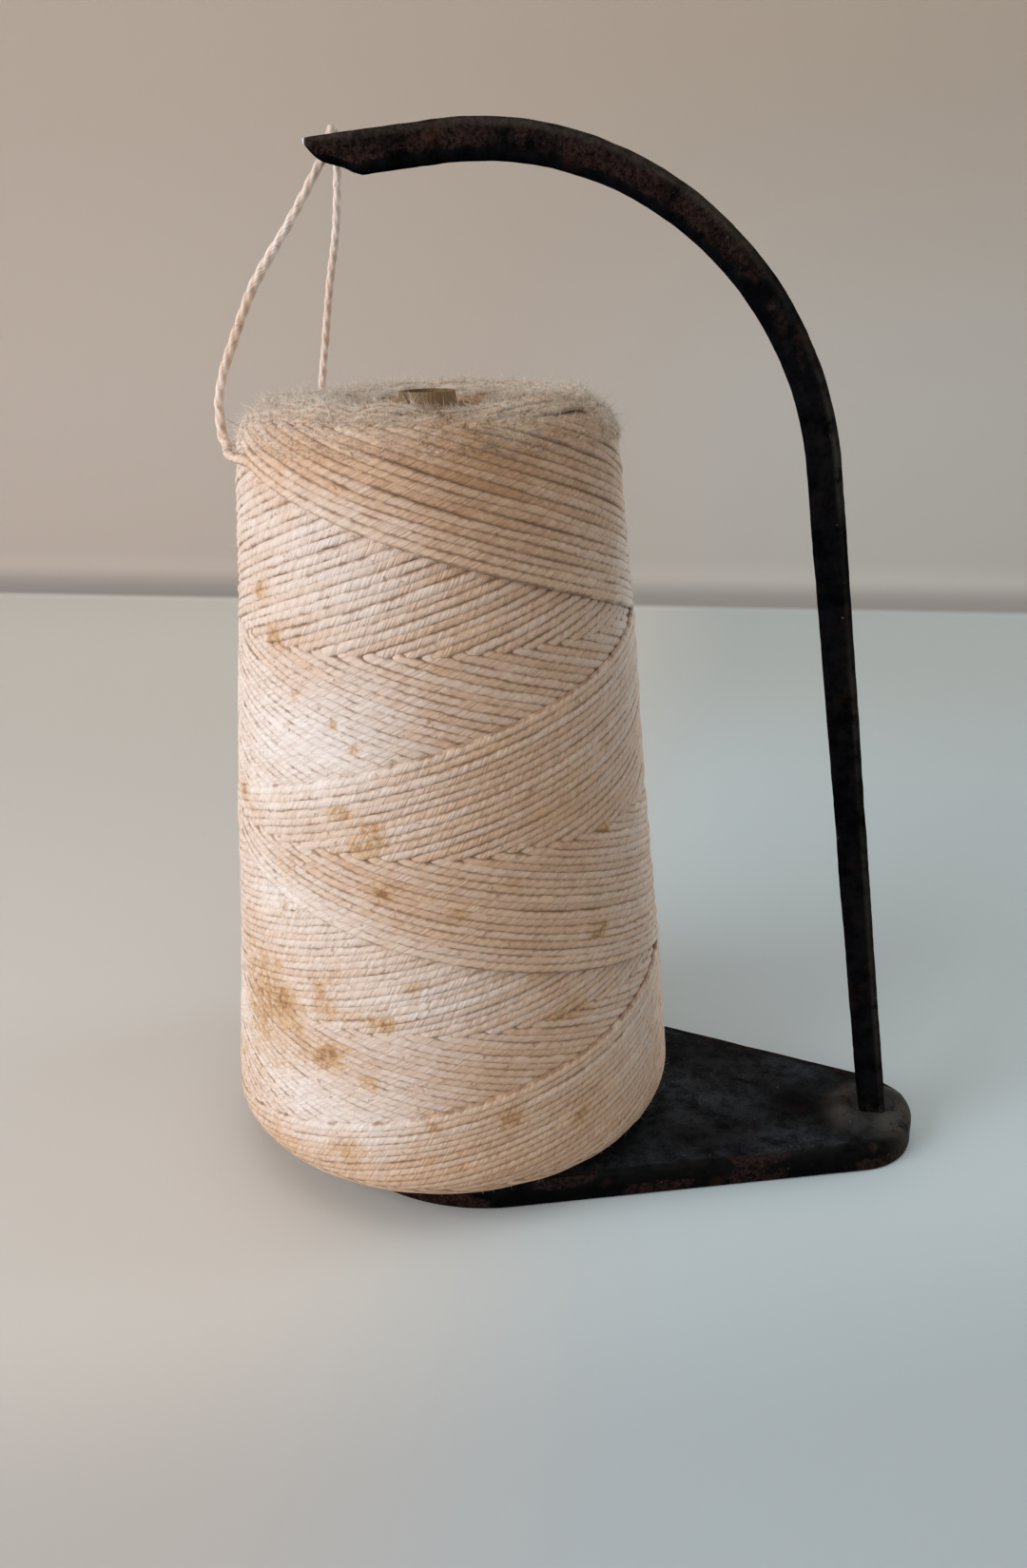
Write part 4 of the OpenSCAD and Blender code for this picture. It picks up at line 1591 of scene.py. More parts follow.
WASHES: tuple[Stain, ...] = tuple(Stain(*row) for row in (
    (-125, 120, 16, 13, -0.4), (-108, 127, 14, 9, -0.22), (-124, 82, 13, 7, -0.42),
    (-109, 24, 16, 8, -0.62), (-116, 194, 17, 7, 0.9), (-95, 178, 14, 7, -0.12),
    (-116, 147, 10, 6, 0.28), (-96, 149, 14, 7, 0.12), (-77, 150, 14, 8, 0.12), (-131, 52, 10, 9, 0.15),
    (-78, 63, 14, 9, -0.38), (-134, 6, 14, 5, 0.35), (-104, 93, 14, 6, 0.3), (-84, 88, 16, 6, 0.2),
    (-56, 76, 16, 6, 0.25), (-80, 198, 9, 6, -0.2), (-60, 192, 9, 6, 0.45), (-44, 100, 10, 8, 0.2),
    (-62, 202, 12, 4, 0.3),
))


@dataclass
class LaidStrands:
    """Strands as arrays, with one row for each strand and one column for each step along it."""

    points: Array
    middle: Array
    normal: Array
    keep: Array
    seen: Array
    tone: Array
    nest: Array
    strand: Array

    def some(self, pick: slice) -> LaidStrands:
        """Some of the strands."""
        return LaidStrands(*(getattr(self, f.name)[pick] for f in fields(self)))

    def length(self) -> Array:
        """Length along each strand."""
        step = np.diff(self.middle, axis=1, prepend=self.middle[:, :1])
        return np.cumsum(np.linalg.norm(step, axis=-1), axis=1)


@dataclass(frozen=True)
class LintSpec:
    """Loose fibres: how many, how long, how thick, and how far they stand up or lie round the cone."""

    name: str
    count: int
    shortest: float
    longest: float
    width: float
    stand: float
    lie: float
    stray: float = 0.55
    curl: float = 0.42

    def grow(
        self,
        material: bpy.types.Material,
        root: Array,
        normal: Array,
        given: dict[str, Array],
        seed: int,
    ) -> bpy.types.Object:
        """Closed three-sided fibres from random roots, each pointed at both ends.

        Args:
            material: the lint's material.
            root: places where fibres may start.
            normal: outward directions there.
            given: dust and soil there.
            seed: picks the fibres.

        Returns:
            The piece.
        """
        random = np.random.default_rng(seed)
        pick = random.choice(len(root), self.count, replace=len(root) < self.count)
        start, out = root[pick], normal[pick]
        round_way = unit(np.cross((0.0, 0.0, 1.0), out + (0.0, 0.0, 1e-3)))
        lean = np.where(random.random((self.count, 1)) < 0.5, -1.0, 1.0)
        stray = random.standard_normal((self.count, 3)) * self.stray
        aim = out * self.stand + round_way * lean * self.lie + stray
        aim = unit(aim + out * np.maximum(0.0, 0.1 - np.sum(aim * out, axis=1, keepdims=True)))
        long = random.uniform(self.shortest, self.longest, (self.count, 1))
        long = long * random.uniform(0.4, 1.0, (self.count, 1))
        curl = random.standard_normal((self.count, 3)) * self.curl
        side = unit(np.cross(aim, random.standard_normal((self.count, 3))))
        other = np.cross(aim, side)
        share = np.array([0.0, 0.2, 0.62, 1.0])
        spine = start[:, None] - out[:, None] * 0.3 + aim[:, None] * (long * share)[..., None]
        spine = spine + curl[:, None] * (long * share**2)[..., None]
        turn = TAU * np.arange(3) / 3
        ring = side[:, None] * np.cos(turn)[:, None] + other[:, None] * np.sin(turn)[:, None]
        thick = 0.5 * self.width
        rings = [spine[:, 1:2] + thick * ring, spine[:, 2:3] + 0.8 * thick * ring]
        points = np.concatenate([spine[:, :1], *rings, spine[:, 3:]], axis=1).reshape(-1, 3)
        near = [(0, 2, 1), (0, 3, 2), (0, 1, 3)]
        walls = [(1, 2, 5), (1, 5, 4), (2, 3, 6), (2, 6, 5), (3, 1, 4), (3, 4, 6)]
        far = [(7, 4, 5), (7, 5, 6), (7, 6, 4)]
        faces = (np.arange(self.count) * 8)[:, None, None] + np.array(near + walls + far)
        marks = {name: np.repeat(values[pick], 8) for name, values in given.items()}
        marks["tone"] = np.repeat(np.sqrt(random.random(self.count)), 8)
        return build_piece(self.name, points, faces.reshape(-1, 3), material, marks=marks, closed=False)


@dataclass(frozen=True)
class CoilSpec:
    """Coil over an end face: distance between turns, usual height, how far that varies, and seed."""

    pitch: float
    lift: float
    rough: float
    seed: int


@dataclass
class TwineCone:
    """Wound cone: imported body, crossing strands laid newest on top, coiled end faces and loose lint."""

    strand_finish: TwineFinish = TwineFinish("cone_twine")
    # Painted shade: a dark sheet under the strands, seen through the gaps.
    packing: PackingShadeFinish = PackingShadeFinish()
    lint: LintFinish = LintFinish()
    blots: tuple[Stain, ...] = BLOTS
    washes: tuple[Stain, ...] = WASHES
    dents: tuple[Stain, ...] = (Stain(-74, 205, 13.0, 8.0, 1.1),)
    lint_clean: float = 0.75
    side_lint: LintSpec = LintSpec("lint_side", 9000, 0.7, 2.4, 0.055, 0.55, 0.35)
    rim_felt: LintSpec = LintSpec("lint_felt", 16000, 0.9, 3.0, 0.12, 0.26, 0.60, 0.70, 0.90)
    rim_tufts: LintSpec = LintSpec("lint_tufts", 9000, 0.7, 2.0, 0.26, 0.10, 0.8, 0.60, 0.90)
    rim_lint: LintSpec = LintSpec("lint_rim", 12000, 0.6, 2.4, 0.06, 0.75, 0.2)
    rim_wool: LintSpec = LintSpec("lint_wool", 14000, 0.5, 1.7, 0.10, 0.45, 0.45, 0.80, 1.00)
    floor_z: float = 10.0
    tall: float = 205.0
    low_r: float = 66.5
    top_r: float = 48.7
    edge_r: float = 10.0
    rim_r: float = 13.5
    mouth_r: float = 14.0
    mouth_dip: float = 3.0
    hollow_depth: float = 9.0
    core_low_r: float = 25.0
    core_top_r: float = 7.5
    strand_w: float = 3.0
    strand_h: float = 1.75
    climb: float = 103.4
    tighten: float = 0.05
    seam_height: float = 149.0
    seam_bearing: float = 3.6
    per_turn: int = 46
    sides: int = 8
    step: float = 0.36
    sink: float = 1.15
    dip: float = 1.75
    overlap: float = 2.5
    loosening: float = 1.3
    packing_depth: float = 1.5
    packing_dip: float = 2.8
    side_top: float = 209.0
    rim_start: float = 203.5
    lead: tuple[float, float] = (191.0, 197.4)
    lead_drop: float = 4.4
    lead_lift: float = 3.2
    lead_thick: float = 2.7
    top_coil: CoilSpec = CoilSpec(2.1, -0.3, 1.3, 61)
    floor_coil: CoilSpec = CoilSpec(2.3, -0.6, 0.25, 71)
    core_gap: float = 0.05
    dip_start: float = 3.5
    dip_span: float = 4.0
    body_steps: int = 144
    shares: int = 3
    seed: int = 20

    def __post_init__(self) -> None:
        """Lay out the outline: radius, height and unrolled height, which is the height on the side."""
        lean = math.atan2(self.low_r - self.top_r, self.tall)
        slope = (self.low_r - self.top_r) / self.tall
        edge_x = self.low_r - slope * self.edge_r - self.edge_r / math.cos(lean)
        rim_z = self.tall - self.rim_r
        rim_x = self.low_r - slope * rim_z - self.rim_r / math.cos(lean)
        low, high = np.linspace(-math.pi / 2, lean, 40), np.linspace(lean, math.pi / 2, 44)
        mid_r = (self.mouth_r + self.core_top_r) / 2
        floor = np.linspace((self.core_low_r + self.core_gap, 0.0), (edge_x, 0.0), 24)[:-1]
        spread = (self.core_low_r - self.core_top_r) * self.hollow_depth / self.tall
        bottom = (self.core_top_r + spread + self.core_gap, self.tall - self.hollow_depth)
        mouth = (self.mouth_r, self.tall - self.mouth_dip)
        pit = (mid_r, self.tall - self.hollow_depth * 0.8)
        edge_z = self.edge_r + self.edge_r * np.sin(low)
        edge = np.stack([edge_x + self.edge_r * np.cos(low), edge_z], axis=1)
        rim = np.stack([rim_x + self.rim_r * np.cos(high), rim_z + self.rim_r * np.sin(high)], axis=1)
        face = np.linspace((rim_x, self.tall), mouth, 20)[1:]
        hollow = [np.linspace(mouth, pit, 8)[1:], np.linspace(pit, bottom, 6)[1:]]
        outline = np.vstack([floor, edge, rim, face, *hollow])
        run = np.concatenate([[0.0], np.cumsum(np.linalg.norm(np.diff(outline, axis=0), axis=1))])
        anchor = len(floor) + len(edge) - 1
        self.outline = outline
        self.unrolled = run - run[anchor] + outline[anchor, 1]
        self.floor_start = float(self.unrolled[len(floor)])

    def turns(self, run: Array) -> Array:
        """Turns round the cone from the seam: the climb tightens with height by a square term."""
        up = run - self.seam_height
        return up / self.climb - self.tighten * (up / 100.0) ** 2

    def on_cone(self, run: Array) -> tuple[Array, Array]:
        """Radius and height at unrolled heights, and the outward normals there.

        Args:
            run: unrolled heights.

        Returns:
            [radius, height] and the normal, each with two values in the last axis.
        """
        here, ahead, behind = (
            np.stack([np.interp(run + shift, self.unrolled, line) for line in self.outline.T], axis=-1)
            for shift in (0.0, 0.4, -0.4)
        )
        rise = ahead - behind
        return here, unit(np.stack([rise[..., 1], -rise[..., 0]], axis=-1))

    def rings(
        self,
        run: Array,
        bearing: Array,
        lift: Array,
        size: Array,
        swell: Array,
    ) -> tuple[Array, Array, Array]:
        """Rings of points round strands that lie on the cone.

        Args:
            run: unrolled height along each strand.
            bearing: angle about the axis along each strand.
            lift: height of the strand's outside over the cone's outline.
            size: half-width and half-height of the strand, in the last axis.
            swell: the share of its size that each ring has, 0 at closed ends.

        Returns:
            The rings' points, the strands' middles and the outward normals.
        """
        flat, flat_n = self.on_cone(run)
        flat = flat + flat_n * (lift - size[..., 1])[..., None]
        c, s = np.cos(bearing), np.sin(bearing)
        middle = np.stack([flat[..., 0] * c, flat[..., 0] * s, flat[..., 1] + self.floor_z], axis=-1)
        normal = np.stack([flat_n[..., 0] * c, flat_n[..., 0] * s, flat_n[..., 1]], axis=-1)
        along = unit(np.gradient(middle, axis=-2))
        side = unit(np.cross(along, normal))
        up = np.cross(side, along)
        turn = TAU * np.arange(self.sides) / self.sides
        wide = (swell * size[..., 0])[..., None, None] * np.cos(turn)[:, None]
        high = (swell * size[..., 1])[..., None, None] * np.sin(turn)[:, None]
        points = middle[..., None, :] + wide * side[..., None, :] + high * up[..., None, :]
        return points, middle, normal

    def spread(self, middle: Array, marks: Sequence[Stain]) -> Array:
        """Sum of soft marks at places on the cone: each a bell curve along and up the cone.

        Args:
            middle: the places.
            marks: the marks.

        Returns:
            One sum for each place.
        """
        bearing = np.degrees(np.arctan2(middle[..., 1], middle[..., 0]))
        height = middle[..., 2] - self.floor_z
        radius = np.hypot(middle[..., 0], middle[..., 1])
        total = np.zeros(radius.shape)
        for mark in marks:
            along = np.radians((bearing - mark.bearing + 180.0) % 360.0 - 180.0) * radius / mark.along
            up = (height - mark.height) / mark.up
            total = total + mark.strength * np.exp(-0.5 * (along**2 + up**2))
        return total

    def soil(self, middle: Array) -> Array:
        """Broad soil: a little everywhere, more low down, under the rim and by the arm, with painted
        shade in the hollow and on the right side.

        Args:
            middle: places on the cone.

        Returns:
            Soil at each place.
        """
        bearing = np.degrees(np.arctan2(middle[..., 1], middle[..., 0]))
        height = middle[..., 2] - self.floor_z
        radius = np.hypot(middle[..., 0], middle[..., 1])
        uneven = lattice_noise(middle, 40.0, 31)
        away = np.abs((bearing + 48.0 + 180.0) % 360.0 - 180.0)
        low = 0.55 * ease((36.0 - height) / 40.0) * (1.0 + 0.5 * uneven)
        # Painted shade: the twine in the hollow round the core is darkened through the soil value.
        hollow = 2.0 * (1.0 - ease((radius - 16.0) / 6.0)) * ease((height - 150.0) / 20.0)
        high = 0.66 * ease((height + 9.0 * uneven - 158.0) / 24.0) * (1.0 - ease((away - 34.0) / 34.0))
        # Painted shade: the right side, away from the window, is darkened through the soil value.
        facing = np.cos(np.radians(bearing))
        side = 0.48 * ease((facing + 0.2) / 0.6) * (1.0 - 0.6 * ease((facing - 0.6) / 0.4))
        total = 0.46 + low + hollow + high + side + 0.22 * uneven + self.spread(middle, self.washes)
        return np.clip(total, 0.0, 2.2)

    def settle(self, middle: Array) -> Array:
        """Dust on the rim and the end face, thinning into the hollow, and a grey cover thinning down the
        shaded right side that is partly dust and partly painted light.

        Args:
            middle: places on the cone.

        Returns:
            Dust at each place.
        """
        height = middle[..., 2] - self.floor_z
        bearing = np.arctan2(middle[..., 1], middle[..., 0])
        radius = np.hypot(middle[..., 0], middle[..., 1])
        uneven = 5.0 * lattice_noise(middle, 14.0, 41)
        rim = ease((height + uneven - 194.0) / 11.0) * ease((radius - 17.0) / 7.0)
        # Partly painted light: the grey cover on the shaded right side also paints the grey light on the
        # fuzz there.
        shaded = 0.40 * ease((np.cos(bearing - 0.2) - 0.72) / 0.3) * ease((height - 30.0) / 150.0)
        return np.clip(rim + shaded, 0.0, 1.0)

    def course(self, way: Course) -> LaidStrands:
        """All strands of one direction, with the lift that the newest-on-top order gives them.

        A strand's age is its place in its own turn. Where the other direction's strand is younger, the
        strand dips under it. Elsewhere it lies on top, sinking a little with age. The youngest falling
        strand leaves the cone below the rim, where the free string starts.

        Args:
            way: the direction.

        Returns:
            The strands.
        """
        count = self.per_turn
        falling = way is Course.FALLING
        sign = 1.0 if falling else -1.0
        random = np.random.default_rng(self.seed + falling)
        run = np.arange(self.floor_start - 6.0, self.side_top, self.step)
        turns = sign * self.turns(run)[None]
        age = ((np.arange(count) + 0.5) / count)[:, None]
        other = (np.floor((age - 2.0 * turns) % 1.0 * count) + 0.5) / count
        seen = age < other + sign * 1e-6
        goal = np.where(grown(seen, 1), -self.sink * age, -self.sink * other - self.dip)
        strand = np.broadcast_to(np.arange(count, dtype=float)[:, None], seen.shape)
        youngest = strand == 0
        along = np.broadcast_to(run * 3.6, seen.shape)
        seeds = np.stack([strand * 37.0, along, np.full(seen.shape, 11.0 + falling)], -1)
        loose = 1.0 + self.loosening * ease((run - 158.0) / 30.0)
        lift = blurred(goal, 1.3) + 0.19 * loose * lattice_noise(seeds, 20.0, 52)
        lift = lift + 0.07 * random.standard_normal((count, 1))
        lift = lift - 1.3 * ease((run - self.rim_start + 1.5) / 3.0)
        sway = 0.34 * loose * lattice_noise(seeds, 24.0, 51) + 0.08 * random.standard_normal((count, 1))
        swell = 1.0 + 0.10 * lattice_noise(seeds, 20.0, 53)
        keep = grown(seen, round(self.overlap / self.step))
        size = np.broadcast_to((self.strand_w / 2, self.strand_h / 2), (*seen.shape, 2)).copy()
        height = np.where(youngest, run, run + sway)
        if falling:
            leave = youngest * ease((run - self.lead[0]) / (self.lead[1] - self.lead[0]))
            height = height - self.lead_drop * leave
            lift = np.where(youngest, 0.12 + (self.lead_lift - 0.12) * leave, lift)
            size = size + (self.lead_thick / 2 - size) * leave[..., None]
            keep = keep & ~(youngest & (run > self.lead[1]))
        last = keep & ~(np.roll(keep, 1, axis=1) & np.roll(keep, -1, axis=1))
        last[:, [0, -1]] = True
        swell = np.where(last, 0.0, swell)
        bearing = math.radians(self.seam_bearing) - TAU * (turns - age)
        points, middle, normal = self.rings(height, bearing, lift, size, swell)
        # Painted light: strands on the left, the window side, get a higher tone and so a paler colour.
        painted_lit_side = 0.27 * ease((-np.cos(bearing) - 0.45) / 0.5)
        tone = 0.45 + painted_lit_side + 0.11 * random.standard_normal((count, 1))
        tone = tone + 0.16 * lattice_noise(seeds, 30.0, 54)
        tone = np.clip(np.where(youngest, 0.9, tone), 0.0, 1.0)
        nest, label = np.ones(seen.shape), strand + 100.0 * falling
        return LaidStrands(points, middle, normal, keep, seen & keep, tone, nest, label)

    def coil(self, start: float, stop: float, spec: CoilSpec) -> LaidStrands:
        """One strand coiled over an end face, from one unrolled height to another.

        Args:
            start: unrolled height of the first turn.
            stop: unrolled height of the last turn.
            spec: the coil's pitch, height, roughness and seed.

        Returns:
            The coil, as one strand.
        """
        seed, rough = spec.seed, spec.rough
        turns = abs(stop - start) / spec.pitch
        share = np.linspace(0.0, 1.0, int(turns * 110))[None]
        bearing = TAU * turns * share
        run = start + (stop - start) * share
        probe = np.stack([40.0 * np.cos(bearing), 40.0 * np.sin(bearing), run * 9.0], axis=-1)
        run = run + 0.65 * lattice_noise(probe, 17.0, seed) + 0.3 * lattice_noise(probe, 6.0, seed + 1)
        uneven = 0.7 * lattice_noise(probe, 13.0, seed + 2) + 0.4 * lattice_noise(probe, 5.0, seed + 5)
        raised = spec.lift + rough * uneven
        radius, height = np.moveaxis(self.on_cone(run)[0], -1, 0)
        x, y = radius * np.cos(bearing), radius * np.sin(bearing)
        spot = np.stack([x, y, np.zeros(run.shape)], axis=-1)
        raised = raised + rough * (0.9 * lattice_noise(spot, 9.0, seed + 6) - 0.2)
        spot[..., 2] = height + self.floor_z
        raised = raised - self.spread(spot, self.dents)
        swell = 1.0 + 0.10 * lattice_noise(probe, 8.0, seed + 3)
        swell[:, [0, -1]] = 0.0
        size = np.broadcast_to((self.strand_w / 2, self.strand_h / 2), (*run.shape, 2))
        points, middle, normal = self.rings(run, bearing, raised, size, swell)
        whole = np.ones(run.shape, bool)
        tone = np.clip(0.42 + 0.3 * lattice_noise(probe, 25.0, seed + 4), 0.0, 1.0)
        nest, label = whole * 1.0, np.full(run.shape, float(seed))
        return LaidStrands(points, middle, normal, whole, whole, tone, nest, label)

    def strand_piece(
        self, name: str, material: bpy.types.Material, laid: LaidStrands
    ) -> bpy.types.Object:
        """Closed tubes of the kept stretches of strands, with UV round and along them.

        Args:
            name: the piece's name.
            material: the twine's material.
            laid: the strands.

        Returns:
            The piece.
        """
        steps, sides = laid.points.shape[1:3]
        strand, step = np.nonzero(laid.keep[:, :-1] & laid.keep[:, 1:])
        first = (strand * steps + step)[:, None] * sides
        c = np.arange(sides)[None, :]
        n = (c + 1) % sides
        corners = [first + c, first + n, first + sides + n, first + sides + c]
        quads = np.stack(corners, axis=-1).reshape(-1, 4)
        used, quads = np.unique(quads, return_inverse=True)
        ring = used // sides
        middle = laid.middle.reshape(-1, 3)[ring]
        marks = {key: getattr(laid, key).reshape(-1)[ring] for key in ("tone", "nest", "strand")}
        takes_soil = 1.0 + 0.16 * np.sin(2.4 * marks["strand"])
        stain = np.clip(self.spread(middle, self.blots), 0.0, 1.6)
        marks |= {"stain": stain, "soil": self.soil(middle) * takes_soil, "settle": self.settle(middle)}
        length = laid.length()
        u = np.stack([c, c + 1, c + 1, c], axis=-1) / sides
        v0, v1 = length[strand, step], length[strand, step + 1]
        v = np.stack([v0, v0, v1, v1], axis=-1)[:, None, :]
        lay = np.stack(np.broadcast_arrays(u, v), axis=-1).reshape(-1, 2)
        points = laid.points.reshape(-1, 3)[used]
        piece = build_piece(name, points, quads.reshape(-1, 4), material, lay=lay, marks=marks)
        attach(piece, "cone")
        return piece

    def body(self, shop: Workshop) -> bpy.types.Object:
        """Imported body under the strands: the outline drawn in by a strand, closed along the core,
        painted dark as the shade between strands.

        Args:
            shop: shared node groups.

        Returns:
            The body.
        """
        _, normal = self.on_cone(self.unrolled)
        dipped = ease((self.unrolled - self.rim_start + self.dip_start) / self.dip_span)
        sunk = self.packing_depth + self.packing_dip * dipped
        shape = self.outline - normal * sunk[:, None]
        shape[:, 0] = np.maximum(shape[:, 0], self.core_at(shape[:, 1]) + self.core_gap)
        shape[:, 1] = np.maximum(shape[:, 1], 0.6)
        back = np.linspace(shape[-1], shape[0], 20)[1:]
        back[:, 0] = self.core_at(back[:, 1]) + self.core_gap
        profile = np.vstack([shape, back])
        profile[:, 1] += self.floor_z
        points, quads = lathe(profile, self.body_steps)
        piece = build_piece("twine_packing_shade", points, quads, self.packing.material(shop))
        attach(piece, "cone")
        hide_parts("twine_core")
        return piece

    def core_at(self, height: Array) -> Array:
        """Radius of the paper core at a height above the floor."""
        return self.core_low_r + (self.core_top_r - self.core_low_r) * height / self.tall

    def fuzz(self, shop: Workshop, side: Sequence[LaidStrands], top: LaidStrands) -> None:
        """Loose fibres on the side, and a felt of them on the rim and the upper end.

        Args:
            shop: shared node groups.
            side: the side's strands.
            top: the upper end's coil.
        """
        material = self.lint.material(shop)
        crown = self.sides // 4
        root = np.vstack([laid.points[laid.seen][:, crown] for laid in side])
        out = np.vstack([laid.normal[laid.seen] for laid in side])
        high = root[:, 2] > self.floor_z + self.rim_start - 10.0
        felted = np.hypot(*top.middle[0, :, :2].T) > self.mouth_r + 3.5
        rim_root = np.vstack([root[high], *[top.points[0, felted, crown]] * 2])
        rim_out = np.vstack([out[high], *[top.normal[0, felted]] * 2])
        specs = self.side_lint, self.rim_felt, self.rim_lint, self.rim_tufts, self.rim_wool
        for k, spec in enumerate(specs):
            where, way = (root, out) if spec is self.side_lint else (rim_root, rim_out)
            soil = np.clip(self.soil(where) - self.lint_clean, 0.0, 1.0)
            given = {"settle": self.settle(where), "soil": soil}
            piece = spec.grow(material, where, way, given, self.seed + 40 + k)
            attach(piece, "cone")

    def build(self, shop: Workshop) -> None:
        """Pack, wind and dress the cone.

        Args:
            shop: shared node groups.
        """
        self.body(shop)
        twine = self.strand_finish.material(shop)
        side = [self.course(way) for way in Course]
        cuts = np.linspace(0, self.per_turn, self.shares + 1).astype(int)
        parts = [slice(*pair) for pair in zip(cuts, cuts[1:])]
        pieces = [
            self.strand_piece(f"twine_{way.value}_{k}", twine, laid.some(part))
            for way, laid in zip(Course, side)
            for k, part in enumerate(parts, 1)
        ]
        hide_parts("twine_wrap")
        top = self.coil(self.rim_start, self.unrolled[-1] - 0.8, self.top_coil)
        self.strand_piece("twine_rim_coil", twine, top)
        floor = self.coil(self.floor_start + 2.0, self.unrolled[0] + 1.6, self.floor_coil)
        self.strand_piece("twine_floor_coil", twine, floor)
        self.fuzz(shop, side, top)


@dataclass
class FreeString:
    """Free end of the twine: up from the cone, through the eye and down behind the cone."""

    finish: TwineFinish = TwineFinish("free_twine", bump_mm=0.12)
    lint: LintFinish = LintFinish("string_lint", clean=(0.78, 0.70, 0.61))
    hairs: LintSpec = LintSpec("string_hairs", 900, 0.6, 1.7, 0.05, 0.7, 0.2)
    route: tuple[tuple[float, float, float], ...] = (
        (-47.49, -20.16, 203), (-48.69, -17.06, 203), (-50.14, -14.55, 203.7), (-51.28, -13.24, 205.8),
        (-51.76, -12.3, 210), (-51.74, -11.77, 214.2), (-50.22, -10.21, 221.21), (-47.84, -8.76, 227.51),
        (-45.01, -7.41, 234.51), (-42.03, -6.16, 240.81), (-37.6, -4.6, 247.82), (-33.23, -3.25, 254.12),
        (-29.25, -2, 260.42), (-25.48, -0.85, 266.72), (-23.21, -0.22, 270.22), (-22.2, 0.4, 273.02),
        (-22, 1.3, 274.62), (-22, 2.2, 275.82), (-22, 3.85, 276.23), (-22, 5.25, 275.73),
        (-22.1, 6.45, 274.02), (-22.3, 7.05, 271.42), (-22.9, 8.75, 267.02), (-25.53, 13.11, 254),
        (-30.12, 19.01, 240.35), (-34.28, 24.96, 226.09), (-37.61, 29.88, 214.92), (-39.7, 33.31, 205),
        (-41.36, 34.7, 180), (-43.02, 36.1, 155), (-44.68, 37.49, 130), (-46.35, 38.89, 105),
        (-48.01, 40.28, 80),
    )
    thick: float = 2.7
    plies: int = 3
    ply_offset: float = 0.34
    ply_r: float = 0.66
    twist: float = 14.0
    lay_scale: float = LAY_LENGTH / twist
    worn_share: float = 0.80
    worn_span: float = 16.0
    drawn_by_eye: float = 0.15
    drawn_by_cone: float = 0.10
    eye_reach: tuple[float, float] = (243.0, 20.0)
    cone_reach: tuple[float, float] = (215.0, 9.0)
    sides: int = 20
    spacing: float = 0.55
    eye_top: float = 276.5
    kept_drop: float = 0.26
    seed: int = 90

    def girth(self, path: Array, reach: Array, turn: Array) -> Array:
        """Radius round the string: the outer hull of its plies, which wind to the left.

        It is drawn thinner on its way to the eye and where it leaves the cone, and worn after the eye.

        Args:
            path: the string's middle.
            reach: length along it.
            turn: angles round it.

        Returns:
            One radius for each step and angle.
        """
        swing = turn[None] + TAU * reach[:, None] / self.twist
        lobe = TAU / 2 / self.plies - np.abs((swing * self.plies / TAU) % 1.0 - 0.5) * TAU / self.plies
        flank = np.sqrt(self.ply_r**2 - (self.ply_offset * np.sin(lobe)) ** 2)
        hull = self.ply_offset * np.cos(lobe) + flank
        crest = reach[np.argmax(path[:, 2])]
        past_eye = ease((reach - crest) / self.worn_span)
        by_eye, by_cone = (
            (path[:, 2] - start) / span for start, span in (self.eye_reach, self.cone_reach)
        )
        drawn = self.drawn_by_eye * ease(by_eye)
        drawn = drawn + self.drawn_by_cone * np.exp(-(by_cone**2))
        slim = 1.0 - drawn * (1.0 - past_eye)
        uneven = 1.0 + 0.06 * lattice_noise(path, 9.0, 81) + 0.03 * lattice_noise(path, 3.0, 83)
        size = uneven * slim * (1.0 + (self.worn_share - 1.0) * past_eye)
        return self.thick / 2 * hull * size[:, None]

    @staticmethod
    def soiling(path: Array, radius: Array) -> dict[str, Array]:
        """Tone and soil of the string: painted shade in the grooves between plies, as lower tone and more
        soil, and soil uneven along it.

        Args:
            path: the string's middle.
            radius: its radius at each step and angle.

        Returns:
            The named values at each point of the closed skin.
        """
        groove = np.concatenate([radius[:1], radius, radius[-1:]])
        groove = groove / groove.max(axis=1, keepdims=True)
        dent = (1.0 - groove) / (1.0 - groove.min())
        uneven = lattice_noise(np.vstack([path[:1], path, path[-1:]]), 12.0, 82)
        # Painted shade: soil rises and tone falls towards the bottom of each groove between plies.
        soil = np.clip(0.32 + 0.25 * uneven[:, None] + 0.70 * dent, 0.0, 2.0)
        marks = {"tone": np.clip(1.0 - dent, 0.0, 1.0).ravel(), "soil": soil.ravel()}
        return marks | {name: np.zeros(dent.size) for name in ("stain", "settle", "nest", "strand")}

    def build(self, shop: Workshop) -> bpy.types.Object:
        """Lay, twist and dress the string.

        Args:
            shop: shared node groups.

        Returns:
            The string.
        """
        path = even_route(smooth_route(self.route, 12), self.spacing)
        along = unit(np.gradient(path, axis=0))
        guide = unit(np.cross(along, (0.35, -0.2, 0.9)))
        other = np.cross(along, guide)
        reach = np.arange(len(path)) * np.linalg.norm(path[1] - path[0])
        turn = TAU * np.arange(self.sides) / self.sides
        radius = self.girth(path, reach, turn)
        away = np.cos(turn)[:, None] * guide[:, None] + np.sin(turn)[:, None] * other[:, None]
        points = path[:, None] + radius[..., None] * away
        caps = [np.broadcast_to(p, points[0].shape)[None] for p in (path[0], path[-1])]
        skin = np.concatenate([caps[0], points, caps[1]])
        quads = grid_quads(len(skin), self.sides)
        length = np.concatenate([reach[:1], reach, reach[-1:]]) * self.lay_scale
        string = build_piece(
            "free_string",
            skin.reshape(-1, 3),
            quads,
            self.finish.material(shop),
            lay=grid_lay(length, self.sides),
            marks=self.soiling(path, radius),
        )
        roots, ways = points[4:-4].reshape(-1, 3), away[4:-4].reshape(-1, 3)
        clean = {name: np.zeros(len(roots)) for name in ("settle", "soil")}
        hairs = self.hairs.grow(self.lint.material(shop), roots, ways, clean, self.seed)
        for piece in (string, hairs):
            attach(piece, "stand")
            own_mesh(piece)
        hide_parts("twine_run")
        return string


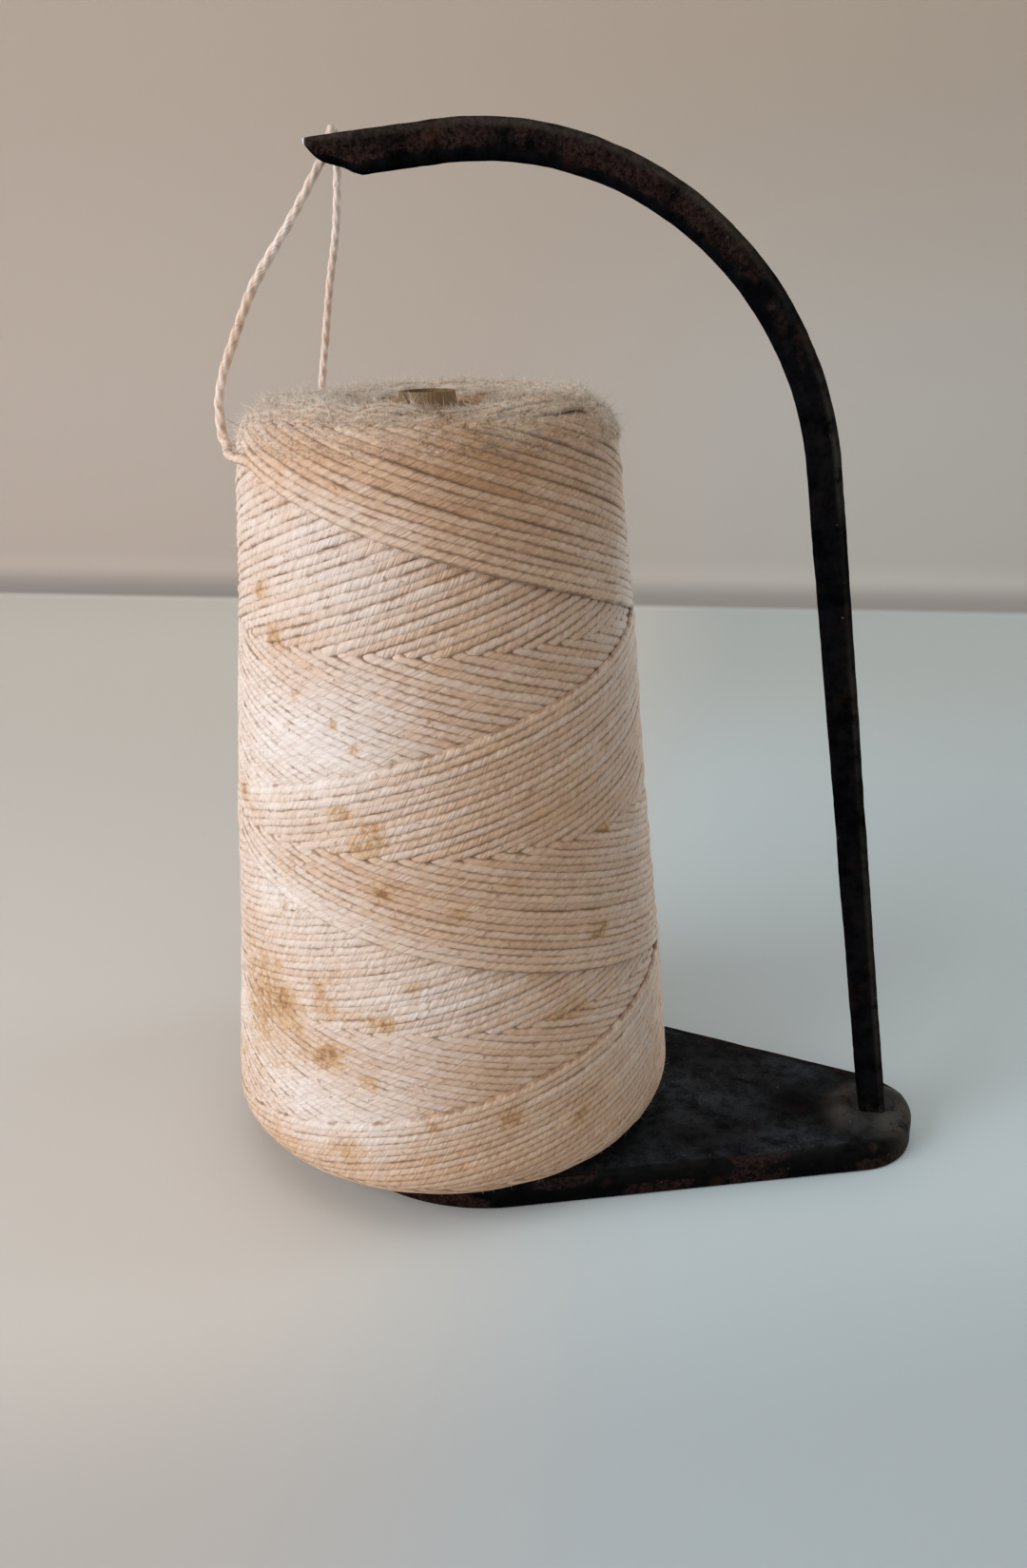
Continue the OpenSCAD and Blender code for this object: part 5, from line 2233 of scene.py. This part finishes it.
def main(frame: dict[str, Any]) -> None:
    """Build the camera, the studio and every piece in order, and report each piece.
    """
    LOG.info("nodes: %s", ", ".join(sorted(frame["nodes"])))
    PhotoCamera().place()
    Studio().build()
    shop = Workshop()
    FreeString().build(shop)
    CastBase().build(shop)
    IronArm().build(shop)
    SpindleSet().build(shop)
    PaperCore().build(shop)
    TwineCone().build(shop)
    for piece in bpy.context.scene.collection.objects:
        if piece.type == "MESH" and piece.name not in frame["nodes"]:
            LOG.info("%s: %d faces", piece.name, len(piece.data.polygons))


if __name__ == "__main__":
    logging.basicConfig(level=logging.INFO, format="%(name)s: %(message)s")
    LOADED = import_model()
    main(LOADED)
